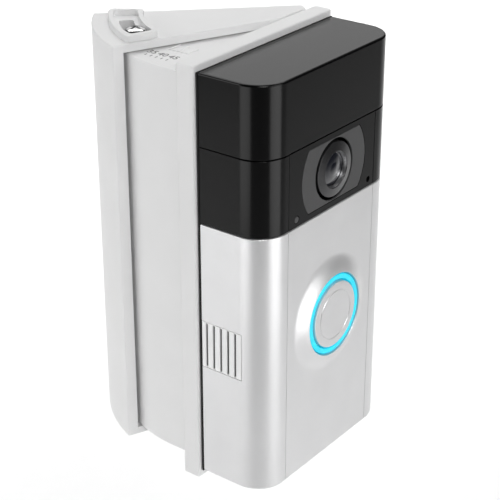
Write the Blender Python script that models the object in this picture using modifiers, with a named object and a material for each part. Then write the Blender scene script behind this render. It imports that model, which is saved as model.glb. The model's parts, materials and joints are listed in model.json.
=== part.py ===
"""Video doorbell on an adjustable corner bracket, as separate solids.

Lengths are in millimetres and are turned into metres where geometry is made. The world frame has the
wall at Y = 0 with +Y going into it. The doorbell's own frame has X across its face, +Y into its back,
Z up from its bottom edge, and its back plane at Y = 0; an empty on the bracket's hinge axis turns it.
"""

import math

import bmesh
import bpy
from mathutils import Matrix

MM = 0.001
GAP = 0.3  # clearance between touching pieces
CUT = 5.0  # how far a cutter runs past the face that it opens

# Doorbell body
BODY_WIDTH = 62.0
BODY_HEIGHT = 124.0
BODY_DEPTH = 23.0
CORNER_RADIUS = 9.0
WALL = 1.8
RIM = 0.5  # rear housing's edge, flush with the sides
BASE = 1.2  # rear housing's thickness inside that edge
FRONT_SEAM = 20.8  # half-width of the flat front between its two vertical seams
FACE_TOP = 80.7  # faceplate below, camera housing above
CAP_BASE = 103.2  # camera housing below, top cap above

# Bell button and light ring
BUTTON_Z = 47.4
BUTTON_RADIUS = 10.1
BUTTON_TRAVEL = 0.8
RING_INNER = 10.45
RING_OUTER = 12.2
DOME_RADIUS = 18.2
DOME_HEIGHT = 2.2
FACE_HOLE = 12.55

# Camera
LENS_X = 0.6
LENS_Z = 92.0
LENS_HOLE = 9.2
WINDOW_THICK = 1.2
SURROUND_RADIUS = 15.3
SURROUND_HALF = 8.9

# Side vents
VENT_BACK = -RIM - GAP
VENT_FRONT = -14.8
VENT_BOTTOM = 36.0
VENT_TOP = 50.8
SLOT_COUNT = 5
SLOT_PITCH = 2.5
SLOT_WIDTH = 0.7

# Corner bracket: plan sizes are taken from the hinge axis
MOUNT_ANGLE = 45.0  # doorbell back to wall, as shown; the screw slot lets it close by CLOSE_ANGLE
CLOSE_ANGLE = 15.0
HINGE_X = 20.0
HINGE_TO_WALL = 9.8
HINGE_IN_BODY = (15.0, 9.6)  # hinge axis in the doorbell's frame
BRACKET_HALF = 62.0
BRACKET_FLOOR = 2.3  # top and bottom plates
BRACKET_WALL = 2.0  # plate on the wall
SHELL_OUTER = 51.0
SHELL_INNER = 47.8
FRONT_ANGLE = 21.5  # open edge of the outer shell, from the wall
KNUCKLE = 3.0
END_LENGTH = 12.9  # oblique end of the top plate, along the doorbell's back
END_X = 10.4
SWING_OUTER = 46.6
SWING_WALL = 1.8
SWING_REAR = 36.0  # rear edge of the swinging box, from the doorbell's back
PLATE_HALF = 32.0
PLATE_BACK = 6.2
PLATE_FRONT = GAP
TRAY_FLOOR = 4.0  # the mounting plate sits in a tray in the swinging plate
TRAY_HALF = 26.0
TRAY_LOW = 7.4
TRAY_HIGH = 118.6
PLATE_BOTTOM = -2.4
PLATE_TOP = 125.8
BODY_DROP = 64.0  # doorbell's bottom edge below the world origin
PIN_RADIUS = 1.2
PIN_HOLE = 1.5

# Clamp screw, in its slot round the hinge axis
SLOT_RADIUS = 41.2
SLOT_HALF = 2.1
SCREW_ANGLE = 16.9  # from the wall
SCREW_SHAFT = 1.7
HEAD_RADIUS = 3.1
BOSS_TOP = 64.0
POCKET_FLOOR = 62.3

ARC_STEPS = 8

scene_objects = list(bpy.data.objects)
for old in scene_objects:
    bpy.data.objects.remove(old, do_unlink=True)


def new_collection(name):
    collection = bpy.data.collections.new(name)
    bpy.context.scene.collection.children.link(collection)
    return collection


parts = new_collection("video_doorbell")
cutters = new_collection("cutters")


def material(name, colour, roughness, metallic=0.0):
    made = bpy.data.materials.new(name)
    made.use_nodes = True
    shader = made.node_tree.nodes["Principled BSDF"]
    shader.inputs["Base Color"].default_value = (*colour, 1.0)
    shader.inputs["Roughness"].default_value = roughness
    shader.inputs["Metallic"].default_value = metallic
    return made


WHITE = material("white_plastic", (0.80, 0.80, 0.80), 0.55)
SILVER = material("satin_silver", (0.60, 0.60, 0.60), 0.35, 0.7)
BLACK = material("gloss_black", (0.02, 0.02, 0.02), 0.2)
MATT_BLACK = material("matt_black", (0.03, 0.03, 0.03), 0.6)
GREY = material("lens_grey", (0.08, 0.08, 0.08), 0.3)
CYAN = material("light_guide", (0.03, 0.75, 0.86), 0.3)
STEEL = material("bright_steel", (0.75, 0.75, 0.75), 0.25, 1.0)
GLASS = material("lens_glass", (0.05, 0.06, 0.08), 0.05)
BOARD = material("circuit_board", (0.02, 0.20, 0.08), 0.5)
RUBBER = material("seal_rubber", (0.05, 0.05, 0.05), 0.8)
CELL = material("battery_case", (0.10, 0.10, 0.12), 0.5)
GOLD = material("contact_gold", (0.80, 0.60, 0.25), 0.3, 1.0)


def empty(name, location, parent=None, turn=0.0):
    made = bpy.data.objects.new(name, None)
    made.location = [value * MM for value in location]
    made.rotation_euler = (0.0, 0.0, math.radians(turn))
    made.parent = parent
    parts.objects.link(made)
    return made


SWING_AXIS = empty("swing_axis", (HINGE_X, -HINGE_TO_WALL, 0.0), turn=MOUNT_ANGLE)
BODY = empty("doorbell_frame", (-HINGE_IN_BODY[0], -HINGE_IN_BODY[1], -BODY_DROP), SWING_AXIS)
FACE_AXIS = empty("faceplate_axis", (0.0, -BODY_DEPTH, FACE_TOP), BODY)
WALL_AXIS = empty("wall_axis", (HINGE_X, -HINGE_TO_WALL, 0.0))


def place(name, mesh, finish, location, parent, turn=(0.0, 0.0, 0.0)):
    """Links a mesh as a part, or as a cutter where it has no finish."""
    made = bpy.data.objects.new(name, mesh)
    made.location = [value * MM for value in location]
    made.rotation_euler = turn
    made.parent = parent
    if finish is None:
        cutters.objects.link(made)
        made.hide_render = True
        made.display_type = "WIRE"
    else:
        parts.objects.link(made)
        mesh.materials.clear()
        mesh.materials.append(finish)
    return made


def box(name, low, high, finish=None, parent=BODY, bevel=0.0):
    """Block between two opposite corners."""
    bm = bmesh.new()
    size = [(b - a) * MM for a, b in zip(low, high)]
    bmesh.ops.create_cube(bm, size=1.0, matrix=Matrix.Diagonal((*size, 1.0)))
    mesh = bpy.data.meshes.new(name)
    bm.to_mesh(mesh)
    bm.free()
    made = place(name, mesh, finish, [(a + b) / 2 for a, b in zip(low, high)], parent)
    if bevel:
        edge = made.modifiers.new("edges", "BEVEL")
        edge.width = bevel * MM
        edge.segments = 2
    return made


FACING = {"UP": (0.0, 0.0, 0.0), "FRONT": (math.pi / 2, 0.0, 0.0)}


def cylinder(name, radius, length, location, finish=None, parent=BODY, facing="FRONT", sides=32):
    """Round bar whose middle is at location; FRONT runs it along Y, UP along Z."""
    bm = bmesh.new()
    bmesh.ops.create_cone(
        bm, cap_ends=True, segments=sides, radius1=radius * MM, radius2=radius * MM, depth=length * MM
    )
    mesh = bpy.data.meshes.new(name)
    bm.to_mesh(mesh)
    bm.free()
    mesh.shade_smooth()
    mesh.set_sharp_from_angle(angle=math.radians(40))
    return place(name, mesh, finish, location, parent, FACING[facing])


def turned(name, profile, location, finish=None, parent=BODY, facing="FRONT", ring=False, sides=40):
    """Turns (radius, height) points, listed down the outer side; FRONT makes +height face the front."""
    count = len(profile)
    edges = [(i, i + 1) for i in range(count - 1)]
    if ring:
        edges.append((count - 1, 0))
    mesh = bpy.data.meshes.new(name)
    mesh.from_pydata([(r * MM, 0.0, h * MM) for r, h in profile], edges, [])
    made = place(name, mesh, finish, location, parent, FACING[facing])
    spin = made.modifiers.new("turn", "SCREW")
    spin.steps = spin.render_steps = sides
    spin.use_merge_vertices = True
    spin.merge_threshold = 0.00001
    spin.use_smooth_shade = True
    return made


def prism(name, outline, low, high, finish=None, parent=BODY, facing="UP", base=(0.0, 0.0)):
    """Flat outline made solid between two heights. FRONT stands it up: +height faces the front."""
    curve = bpy.data.curves.new(name, "CURVE")
    curve.dimensions = "2D"
    curve.fill_mode = "BOTH"
    curve.extrude = (high - low) / 2 * MM
    spline = curve.splines.new("POLY")
    spline.points.add(len(outline) - 1)
    for point, (x, y) in zip(spline.points, outline):
        point.co = (x * MM, y * MM, 0.0, 1.0)
    spline.use_cyclic_u = True
    guide = bpy.data.objects.new(name + "_outline", curve)
    parts.objects.link(guide)
    graph = bpy.context.evaluated_depsgraph_get()
    mesh = bpy.data.meshes.new_from_object(guide.evaluated_get(graph))
    bpy.data.objects.remove(guide)
    bm = bmesh.new()
    bm.from_mesh(mesh)
    bmesh.ops.remove_doubles(bm, verts=bm.verts, dist=0.000001)
    bmesh.ops.recalc_face_normals(bm, faces=bm.faces)
    bm.to_mesh(mesh)
    bm.free()
    middle = (low + high) / 2
    location = (base[0], base[1], middle) if facing == "UP" else (base[0], -middle, base[1])
    return place(name, mesh, finish, location, parent, FACING[facing])


def combine(target, other, operation):
    step = target.modifiers.new(operation.lower(), "BOOLEAN")
    step.operation = operation
    step.solver = "EXACT"
    step.object = other


def cut(target, *tools):
    for tool in tools:
        combine(target, tool, "DIFFERENCE")


def join(target, *others):
    for other in others:
        combine(target, other, "UNION")


def arc(centre, radius, start, end, steps=ARC_STEPS):
    """Points round a centre, with angles in degrees from +X."""
    angles = [math.radians(start + (end - start) * i / steps) for i in range(steps + 1)]
    return [(centre[0] + radius * math.cos(a), centre[1] + radius * math.sin(a)) for a in angles]


def body_outline(side_inset=0.0, front_inset=0.0, back=-RIM - GAP):
    """Doorbell's plan: straight sides, rounded front corners and a flat front."""
    half = BODY_WIDTH / 2 - side_inset
    front = -(BODY_DEPTH - front_inset)
    radius = CORNER_RADIUS - (side_inset + front_inset) / 2
    left = arc((-half + radius, front + radius), radius, 180, 270)
    right = arc((half - radius, front + radius), radius, 270, 360)
    return [(-half, back), *left, *right, (half, back)]


def body_shell(name, low, high, finish, front_wall=WALL, floor=0.0, roof=0.0):
    """U-shaped shell of the doorbell's plan, open at the back, with a floor or a roof."""
    shell = prism(name, body_outline(), low, high, finish)
    hollow_low = low + floor if floor else low - CUT
    hollow_high = high - roof if roof else high + CUT
    inside = body_outline(WALL, front_wall, CUT)
    cut(shell, prism(name + "_hollow", inside, hollow_low, hollow_high))
    return shell


# ---------------------------------------------------------------- corner bracket


def from_wall(radius, angle):
    """Plan point by its distance from the hinge and its angle from the wall's left-hand direction."""
    return (-radius * math.cos(math.radians(angle)), -radius * math.sin(math.radians(angle)))


def wall_arc(radius, start, end, steps=ARC_STEPS):
    return [from_wall(radius, start + (end - start) * i / steps) for i in range(steps + 1)]


def sector(inner, outer, start, end):
    """Piece of a ring round the hinge axis."""
    return wall_arc(outer, start, end) + wall_arc(inner, end, start)


def wall_bracket():
    """Fixed outer shell: wall plate, quarter-round side, and top and bottom plates with the hinge."""
    wall_end = -math.degrees(math.asin(HINGE_TO_WALL / SHELL_OUTER))
    front_end = FRONT_ANGLE + math.degrees(math.asin(KNUCKLE / SHELL_OUTER))
    along = math.radians(MOUNT_ANGLE)
    end_point = (
        KNUCKLE * math.sin(along) + END_LENGTH * math.cos(along),
        -KNUCKLE * math.cos(along) + END_LENGTH * math.sin(along),
    )
    outline = wall_arc(SHELL_OUTER, wall_end, front_end, 16)
    outline += arc((0, 0), KNUCKLE, FRONT_ANGLE - 90, MOUNT_ANGLE - 90)
    outline += [end_point, (END_X, HINGE_TO_WALL)]
    shell = prism("wall_bracket", outline, -BRACKET_HALF, BRACKET_HALF, WHITE, WALL_AXIS)

    plate_face = HINGE_TO_WALL - BRACKET_WALL
    back = -math.degrees(math.asin(plate_face / SHELL_INNER))
    open_front = 40.0
    reach = 60.0
    hollow = wall_arc(SHELL_INNER, back, open_front, 16)
    hollow += [(-reach / 2, -reach), (reach, -reach), (reach, plate_face)]
    room = BRACKET_HALF - BRACKET_FLOOR
    cut(shell, prism("bracket_hollow", hollow, -room, room, None, WALL_AXIS))

    boss = sector(36.2, 46.2, -9.3, 24.3)
    join(shell, prism("boss", boss, BRACKET_HALF - 1.0, BOSS_TOP, None, WALL_AXIS))
    pocket = sector(37.7, 44.7, -7.6, 22.6)
    cut(shell, prism("boss_pocket", pocket, POCKET_FLOOR, BOSS_TOP + CUT, None, WALL_AXIS))
    spare = math.degrees(SLOT_HALF / SLOT_RADIUS)
    slot = sector(
        SLOT_RADIUS - SLOT_HALF,
        SLOT_RADIUS + SLOT_HALF,
        SCREW_ANGLE - CLOSE_ANGLE - spare,
        SCREW_ANGLE + spare,
    )
    cut(shell, prism("arc_slot", slot, room - CUT, BOSS_TOP, None, WALL_AXIS))

    pin_base = cylinder(
        "pin_hole", PIN_HOLE, 2 * BRACKET_HALF, (0, 0, -BRACKET_FLOOR / 2 + 0.5), None, WALL_AXIS, "UP"
    )
    wire_window = box("wire_window", (-33, 0, -38), (-17, 15, -8), None, WALL_AXIS)
    cut(shell, pin_base, wire_window)
    for side in (-1, 1):
        place_x, place_z, hole = -25.0, side * 47.0, 2.2
        at = (place_x, HINGE_TO_WALL, place_z)
        cut(shell, cylinder(f"wall_screw_hole_{side}", hole, 2 * CUT, at, None, WALL_AXIS))


def swing_point(radius, angle):
    """Plan point in the doorbell's frame, by its angle from the doorbell's back towards the wall."""
    x, y = HINGE_IN_BODY
    return (x - radius * math.cos(math.radians(angle)), y + radius * math.sin(math.radians(angle)))


def swing_arc(radius, start, end, steps=16):
    return [swing_point(radius, start + (end - start) * i / steps) for i in range(steps + 1)]


CLAMP_AT = swing_point(SLOT_RADIUS, MOUNT_ANGLE - SCREW_ANGLE)
SWING_LOW = BODY_DROP - BRACKET_HALF + BRACKET_FLOOR + 0.4
SWING_HIGH = BODY_DROP + BRACKET_HALF - BRACKET_FLOOR - 0.4


def swing_bracket():
    """Swinging half: front plate, and a box behind it that slides inside the fixed shell."""
    hinge_x, hinge_y = HINGE_IN_BODY
    plate = box(
        "swing_bracket",
        (-PLATE_HALF, PLATE_FRONT, PLATE_BOTTOM),
        (PLATE_HALF, PLATE_BACK, PLATE_TOP),
        WHITE,
    )
    tray = box(
        "plate_tray", (-TRAY_HALF, PLATE_FRONT - CUT, TRAY_LOW), (TRAY_HALF, TRAY_FLOOR, TRAY_HIGH)
    )
    cut(plate, tray)
    overlap = 0.5
    lap = PLATE_BACK - overlap
    start = math.degrees(math.asin((lap - hinge_y) / SWING_OUTER))
    outline = swing_arc(SWING_OUTER, start, SWING_REAR)
    outline += arc(HINGE_IN_BODY, KNUCKLE, 90 - SWING_REAR, 0)
    outline += [(hinge_x + KNUCKLE, lap)]
    join(plate, prism("swing_box", outline, SWING_LOW, SWING_HIGH))

    skin = 2.0
    inner = SWING_OUTER - SWING_WALL
    start = math.degrees(math.asin((PLATE_BACK - hinge_y) / inner))
    hollow = swing_arc(inner, start, SWING_REAR + 20)
    hollow += [(hinge_x - KNUCKLE - skin, 60), (hinge_x - KNUCKLE - skin, PLATE_BACK)]
    cut(plate, prism("swing_hollow", hollow, SWING_LOW + skin, SWING_HIGH - skin))

    middle = BODY_DROP
    pin_hole = cylinder("swing_pin_hole", PIN_HOLE, 140, (hinge_x, hinge_y, middle), facing="UP")
    clamp_hole = cylinder("clamp_hole", 2.0, 2 * CUT, (*CLAMP_AT, SWING_HIGH), facing="UP")
    wires = box("plate_window", (-10, -CUT, 46), (10, PLATE_BACK + CUT, 80))
    cut(plate, pin_hole, clamp_hole, wires)
    for index, (x, z) in enumerate(PLATE_SCREWS):
        at = (x, (TRAY_FLOOR + PLATE_BACK) / 2, z)
        cut(plate, cylinder(f"plate_hole_{index}", 1.8, 2 * CUT, at, sides=20))


PLATE_SCREWS = [(x, z) for z in (20.0, 106.0) for x in (-18.0, 5.0)]


def hinge_and_clamp():
    """Hinge pin pushed in from below, and the screw and nut that clamp the angle."""
    low = -BRACKET_HALF + GAP
    high = BRACKET_HALF - BRACKET_FLOOR + 0.8
    cylinder("hinge_pin", PIN_RADIUS, high - low, (0, 0, (low + high) / 2), STEEL, WALL_AXIS, "UP", 20)

    under_head = POCKET_FLOOR + GAP + BODY_DROP
    head = 1.7
    rim = 0.5
    shaft = 9.8
    profile = [
        (0, head),
        (HEAD_RADIUS - 1.3, head),
        (HEAD_RADIUS - 0.4, head - 0.3),
        (HEAD_RADIUS, rim),
        (HEAD_RADIUS, 0),
        (SCREW_SHAFT, 0),
        (SCREW_SHAFT, -shaft),
        (0, -shaft),
    ]
    screw = turned("clamp_screw", profile, (*CLAMP_AT, under_head), STEEL, facing="UP", sides=32)
    arm, groove, deep = 1.9, 0.42, 0.9
    top = under_head + head
    x, y = CLAMP_AT
    for name, half in (("slot_a", (arm, groove)), ("slot_b", (groove, arm))):
        low = (x - half[0], y - half[1], top - deep)
        cut(screw, box(f"clamp_{name}", low, (x + half[0], y + half[1], top + CUT)))

    nut_high = SWING_HIGH - 2.0 - GAP
    nut_thick, nut_radius, bore = 3.2, 3.3, 2.0
    nut_at = (*CLAMP_AT, nut_high - nut_thick / 2)
    nut = cylinder("clamp_nut", nut_radius, nut_thick, nut_at, STEEL, facing="UP", sides=6)
    cut(nut, cylinder("nut_bore", bore, 2 * CUT, (*CLAMP_AT, nut_high), facing="UP", sides=24))


# ---------------------------------------------------------------- doorbell, back to front


def mounting_plate():
    """Black plate that the doorbell hooks onto, and its four screws into the swinging plate."""
    plate = box("mounting_plate", (-25.4, GAP, 8), (25.4, TRAY_FLOOR - GAP, 118), MATT_BLACK)
    cut(plate, box("wire_way", (-11, -CUT, 46), (11, TRAY_FLOOR + CUT, 82)))
    head, head_radius, shaft_radius = 1.5, 2.8, 1.5
    front = GAP + 0.3
    length = 7.0
    for index, (x, z) in enumerate(PLATE_SCREWS):
        hole = cylinder(f"base_hole_{index}", shaft_radius + GAP, 3 * CUT, (x, 2, z), sides=20)
        seat_deep = front + head + GAP
        seat = cylinder(
            f"base_seat_{index}", head_radius + GAP, 2 * seat_deep, (x, 0, z), sides=24
        )
        cut(plate, hole, seat)
        profile = [
            (0, 0),
            (head_radius, 0),
            (head_radius, -head),
            (shaft_radius, -head),
            (shaft_radius, -length),
            (0, -length),
        ]
        screw = turned(f"plate_screw_{index + 1}", profile, (x, front, z), STEEL, sides=20)
        cut(screw, box(f"drive_{index}", (x - 1.6, -CUT, z - 0.35), (x + 1.6, front + 0.7, z + 0.35)))


TERMINALS = ((-6.0, 70.0), (6.0, 70.0))


def rear_housing():
    """Back of the doorbell: a plate flush with the sides, a raised wall, and two bell-wire screws."""
    half = BODY_WIDTH / 2
    back = box("rear_housing", (-half, -RIM, 0), (half, 0, BODY_HEIGHT), MATT_BLACK)
    side, skin, deep = 28.6, 1.4, 7.0
    base = 2.6
    tub = box("tub", (-side, -deep, base), (side, -RIM / 2, BODY_HEIGHT - base))
    hollow = box(
        "tub_hollow",
        (-side + skin, -deep - CUT, base + skin),
        (side - skin, -BASE, BODY_HEIGHT - base - skin),
    )
    join(back, tub)
    cut(back, hollow)
    shaft, head_radius, head = 1.3, 2.8, 1.4
    for index, (x, z) in enumerate(TERMINALS):
        cut(back, cylinder(f"terminal_hole_{index}", shaft + GAP, 2 * CUT, (x, 0, z), sides=20))
        profile = [
            (0, BASE),
            (shaft, BASE),
            (shaft, -GAP),
            (head_radius, -GAP),
            (head_radius, -GAP - head),
            (0, -GAP - head),
        ]
        turned(f"terminal_screw_{index + 1}", profile, (x, 0, z), STEEL, sides=20)


def power():
    """Frame that carries the battery, the battery with its charging socket, and its contacts."""
    front, back, side, base, top = -13.8, -1.6, 26.5, 4.4, 78.4
    frame = box("inner_frame", (-side, front, base), (side, back, top), MATT_BLACK)
    pocket_side, pocket_top = 22.6, 68.0
    cut(
        frame,
        box(
            "battery_bay",
            (-pocket_side, front + 1.5, base - CUT),
            (pocket_side, back - 1.4, pocket_top),
        ),
    )
    cell_side, cell_base, cell_top = 22.2, 4.8, 66.0
    cell_front, cell_back = front + 1.9, back - 1.8
    battery = box(
        "battery_pack",
        (-cell_side, cell_front, cell_base),
        (cell_side, cell_back, cell_top),
        CELL,
        bevel=0.8,
    )
    mid = (cell_front + cell_back) / 2
    socket = (4.0, 1.5, 6.0)
    cut(
        battery,
        box(
            "socket_pocket",
            (-socket[0] - GAP, mid - socket[1] - GAP, cell_base - CUT),
            (socket[0] + GAP, mid + socket[1] + GAP, cell_base + socket[2] + GAP),
        ),
    )
    port = box(
        "charging_socket",
        (-socket[0], mid - socket[1], cell_base + 0.4),
        (socket[0], mid + socket[1], cell_base + socket[2]),
        STEEL,
    )
    cut(
        port,
        box(
            "socket_mouth",
            (-socket[0] + 0.5, mid - socket[1] + 0.5, cell_base - CUT),
            (socket[0] - 0.5, mid + socket[1] - 0.5, cell_base + 4.5),
        ),
    )
    box("battery_contacts", (-8, mid - 2.5, cell_top + GAP), (8, mid + 2.5, pocket_top - GAP), GOLD)


def electronics():
    """Boards and sensors behind the black upper half."""
    box("main_board", (-25, -4.4, 82), (25, -3.2, 119), BOARD)
    box("antenna", (-20, -10.0, 120.2), (20, -9.2, 121.6), GOLD)
    sensor_board = box("motion_board", (-24, -8.4, 104.5), (24, -7.4, 118.5), BOARD)
    can_radius, can_front, can_back = 4.2, -14.0, -6.0
    for name, x in (("left", -14.0), ("right", 14.0)):
        at = (x, (can_front + can_back) / 2, 111.5)
        cylinder(f"motion_sensor_{name}", can_radius, can_back - can_front, at, STEEL, sides=24)
        cut(sensor_board, cylinder(f"can_hole_{name}", can_radius + GAP, 3 * CUT, at, sides=24))
        lamp = (18.0 if x > 0 else -18.0, -18.6, 96.5)
        cylinder(f"night_lamp_{name}", 1.5, 3.0, lamp, GLASS, sides=16)
    box("microphone", (16, -20.0, 81.4), (20, -18.4, 85.0), GOLD)
    box("speaker", (-26.2, -18.7, 36.5), (-16.6, -14.2, 50.5), MATT_BLACK, bevel=0.6)
    box("flex_cable", (17, -16.6, 54), (23, -16.2, 92), GOLD)


def camera():
    """Camera module: board, sensor, holder, barrel and the two lens elements on one axis."""
    box("camera_board", (-14, -7.2, 82.5), (14, -6.2, 101.5), BOARD)
    sensor = 4.5
    box(
        "image_sensor",
        (LENS_X - sensor, -8.4, LENS_Z - sensor),
        (LENS_X + sensor, -7.5, LENS_Z + sensor),
        GLASS,
    )
    holder_half, holder_front, holder_back = 8.5, -13.0, -8.7
    holder = box(
        "lens_holder",
        (LENS_X - holder_half, holder_front, LENS_Z - holder_half),
        (LENS_X + holder_half, holder_back, LENS_Z + holder_half),
        MATT_BLACK,
        bevel=0.6,
    )
    cut(holder, cylinder("holder_bore", 4.0, 4 * CUT, (LENS_X, -10, LENS_Z)))
    at = (LENS_X, 0, LENS_Z)
    barrel = [
        (5.2, 22.0),
        (7.0, 22.0),
        (7.0, 13.3),
        (3.2, 13.3),
        (3.2, 19.6),
        (5.2, 20.6),
    ]
    turned("lens_barrel", barrel, at, MATT_BLACK, ring=True)
    trim = [
        (5.2, 23.7),
        (7.9, 23.1),
        (8.1, 22.9),
        (8.1, 20.4),
        (7.4, 20.4),
        (7.4, 22.3),
        (5.2, 22.3),
    ]
    turned("lens_trim", trim, at, GREY, ring=True)
    dome_steps, dome_base, dome_rise, dome_radius = 6, 22.2, 1.1, 4.9
    dome = [
        (
            dome_radius * math.sin(math.pi / 2 * i / dome_steps),
            dome_base + dome_rise * math.cos(math.pi / 2 * i / dome_steps),
        )
        for i in range(dome_steps + 1)
    ]
    turned("front_lens", [*dome, (4.6, 21.6), (0, 21.6)], at, GLASS)
    turned("rear_lens", [(0, 17.0), (2.8, 16.0), (2.8, 15.0), (0, 14.2)], at, GLASS)


SENSOR_DOT = (-17.0, 83.0)
MICROPHONE_DOT = (18.0, 83.0)


def surround_outline(grow=0.0):
    """Round plate round the lens with its top and bottom cut flat."""
    radius = SURROUND_RADIUS + grow
    half = SURROUND_HALF + grow
    edge = math.degrees(math.asin(half / radius))
    return arc((0, 0), radius, -edge, edge) + arc((0, 0), radius, 180 - edge, 180 + edge)


def surround_side(turn):
    """One side of that plate, between its round edge and the lens opening."""
    radius = SURROUND_RADIUS - 0.1
    half = SURROUND_HALF - 0.1
    inner = LENS_HOLE + 0.1
    edge = math.degrees(math.asin(half / radius))
    inner_edge = math.degrees(math.asin(half / inner))
    outside = arc((0, 0), radius, turn - edge, turn + edge)
    return outside + arc((0, 0), inner, turn + inner_edge, turn - inner_edge)


def camera_housing():
    """Black middle section: housing, flush front window, lens surround and light sensor."""
    low, high = FACE_TOP + 0.15, CAP_BASE - 0.15
    front_wall = 2.6
    housing = body_shell("camera_housing", low, high, BLACK, front_wall)
    seat = -BODY_DEPTH + WINDOW_THICK + GAP
    recess = box(
        "window_recess", (-FRONT_SEAM, -BODY_DEPTH - CUT, low - CUT), (FRONT_SEAM, seat, high + CUT)
    )
    opening = cylinder("lens_opening", LENS_HOLE, 4 * CUT, (LENS_X, -BODY_DEPTH, LENS_Z), sides=40)
    cut(housing, recess, opening)

    half = FRONT_SEAM - 0.2
    back = -BODY_DEPTH + WINDOW_THICK
    window = box("camera_window", (-half, -BODY_DEPTH, low), (half, back, high), BLACK)
    inlay = 0.5
    pocket = prism(
        "surround_pocket",
        surround_outline(0.1),
        BODY_DEPTH - inlay - 0.1,
        BODY_DEPTH + CUT,
        facing="FRONT",
        base=(LENS_X, LENS_Z),
    )
    opening = cylinder("window_opening", LENS_HOLE, 4 * CUT, (LENS_X, -BODY_DEPTH, LENS_Z), sides=40)
    cut(window, pocket, opening)
    for name, turn in (("left", 180), ("right", 0)):
        inlay_low, inlay_high = BODY_DEPTH - inlay + 0.2, BODY_DEPTH
        prism(
            f"lens_surround_{name}",
            surround_side(turn),
            inlay_low,
            inlay_high,
            GREY,
            facing="FRONT",
            base=(LENS_X, LENS_Z),
        )

    pipe_radius, pipe_length, pipe_front = 1.0, 4.0, -BODY_DEPTH
    x, z = SENSOR_DOT
    at = (x, pipe_front + pipe_length / 2, z)
    cylinder("light_sensor", pipe_radius, pipe_length, at, GREY, sides=16)
    mic_x, mic_z = MICROPHONE_DOT
    for piece in (housing, window):
        name = piece.name
        cut(piece, cylinder(f"{name}_light_hole", pipe_radius + 0.2, 4 * CUT, at, sides=16))
        mic = (mic_x, -BODY_DEPTH, mic_z)
        cut(piece, cylinder(f"{name}_sound_hole", 0.9, 3 * CUT, mic, sides=16))


def top_cap():
    """Black cap over the motion sensors."""
    body_shell("top_cap", CAP_BASE + 0.15, BODY_HEIGHT, BLACK, roof=WALL)


def faceplate():
    """Silver front cover with the raised ring round the button, and a vent in each side."""
    plate = body_shell("faceplate", 0.0, FACE_TOP - 0.15, SILVER, floor=WALL)
    steps = 6
    sunk = 0.6
    slope = [
        (
            FACE_HOLE - 1.0 + (DOME_RADIUS - FACE_HOLE + 1.0) * i / steps,
            DOME_HEIGHT * (1 + math.cos(math.pi * i / steps)) / 2,
        )
        for i in range(steps + 1)
    ]
    profile = [(0, DOME_HEIGHT), *slope, (DOME_RADIUS, -sunk), (0, -sunk)]
    join(plate, turned("dome", profile, (0, -BODY_DEPTH, BUTTON_Z), sides=48))
    hole = cylinder("ring_hole", FACE_HOLE, 3 * CUT, (0, -BODY_DEPTH, BUTTON_Z), sides=48)
    screw_y, head, head_radius, shaft, shaft_length = -10.5, 1.2, 2.3, 1.2, 2.4
    screw_hole = cylinder("screw_hole", shaft + GAP, 2 * CUT, (0, screw_y, 0), facing="UP", sides=20)
    sink = cylinder(
        "screw_sink", head_radius + GAP, 2 * (head + 0.1), (0, screw_y, 0), facing="UP", sides=24
    )
    cut(plate, hole, screw_hole, sink)
    outer = BODY_WIDTH / 2
    for name, side in (("left", -1), ("right", 1)):
        near, far = sorted((side * (outer - WALL - 1.0), side * (outer + 1.0)))
        opening = box(
            f"vent_opening_{name}", (near, VENT_FRONT, VENT_BOTTOM), (far, VENT_BACK + CUT, VENT_TOP)
        )
        cut(plate, opening)
        near, far = sorted((side * (outer - WALL), side * outer))
        edge = 0.15
        grille = box(
            f"vent_grille_{name}",
            (near, VENT_FRONT + edge, VENT_BOTTOM + edge),
            (far, VENT_BACK, VENT_TOP - edge),
            SILVER,
        )
        for slot in range(SLOT_COUNT):
            y = -2.5 - slot * SLOT_PITCH
            grille_slot = box(
                f"vent_slot_{name}_{slot}",
                (near - CUT, y - SLOT_WIDTH / 2, VENT_BOTTOM + 0.7),
                (far + CUT, y + SLOT_WIDTH / 2, VENT_TOP - 0.7),
            )
            cut(grille, grille_slot)

    # The head faces down, so the profile runs from the tip to the head.
    profile = [
        (0, shaft_length + head),
        (shaft, shaft_length + head),
        (shaft, head),
        (head_radius, head),
        (head_radius, 0.1),
        (0, 0.1),
    ]
    screw = turned("security_screw", profile, (0, screw_y, 0), STEEL, facing="UP", sides=24)
    drive = cylinder("screw_drive", 1.0, 1.2, (0, screw_y, 0), facing="UP", sides=6)
    cut(screw, drive)


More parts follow.
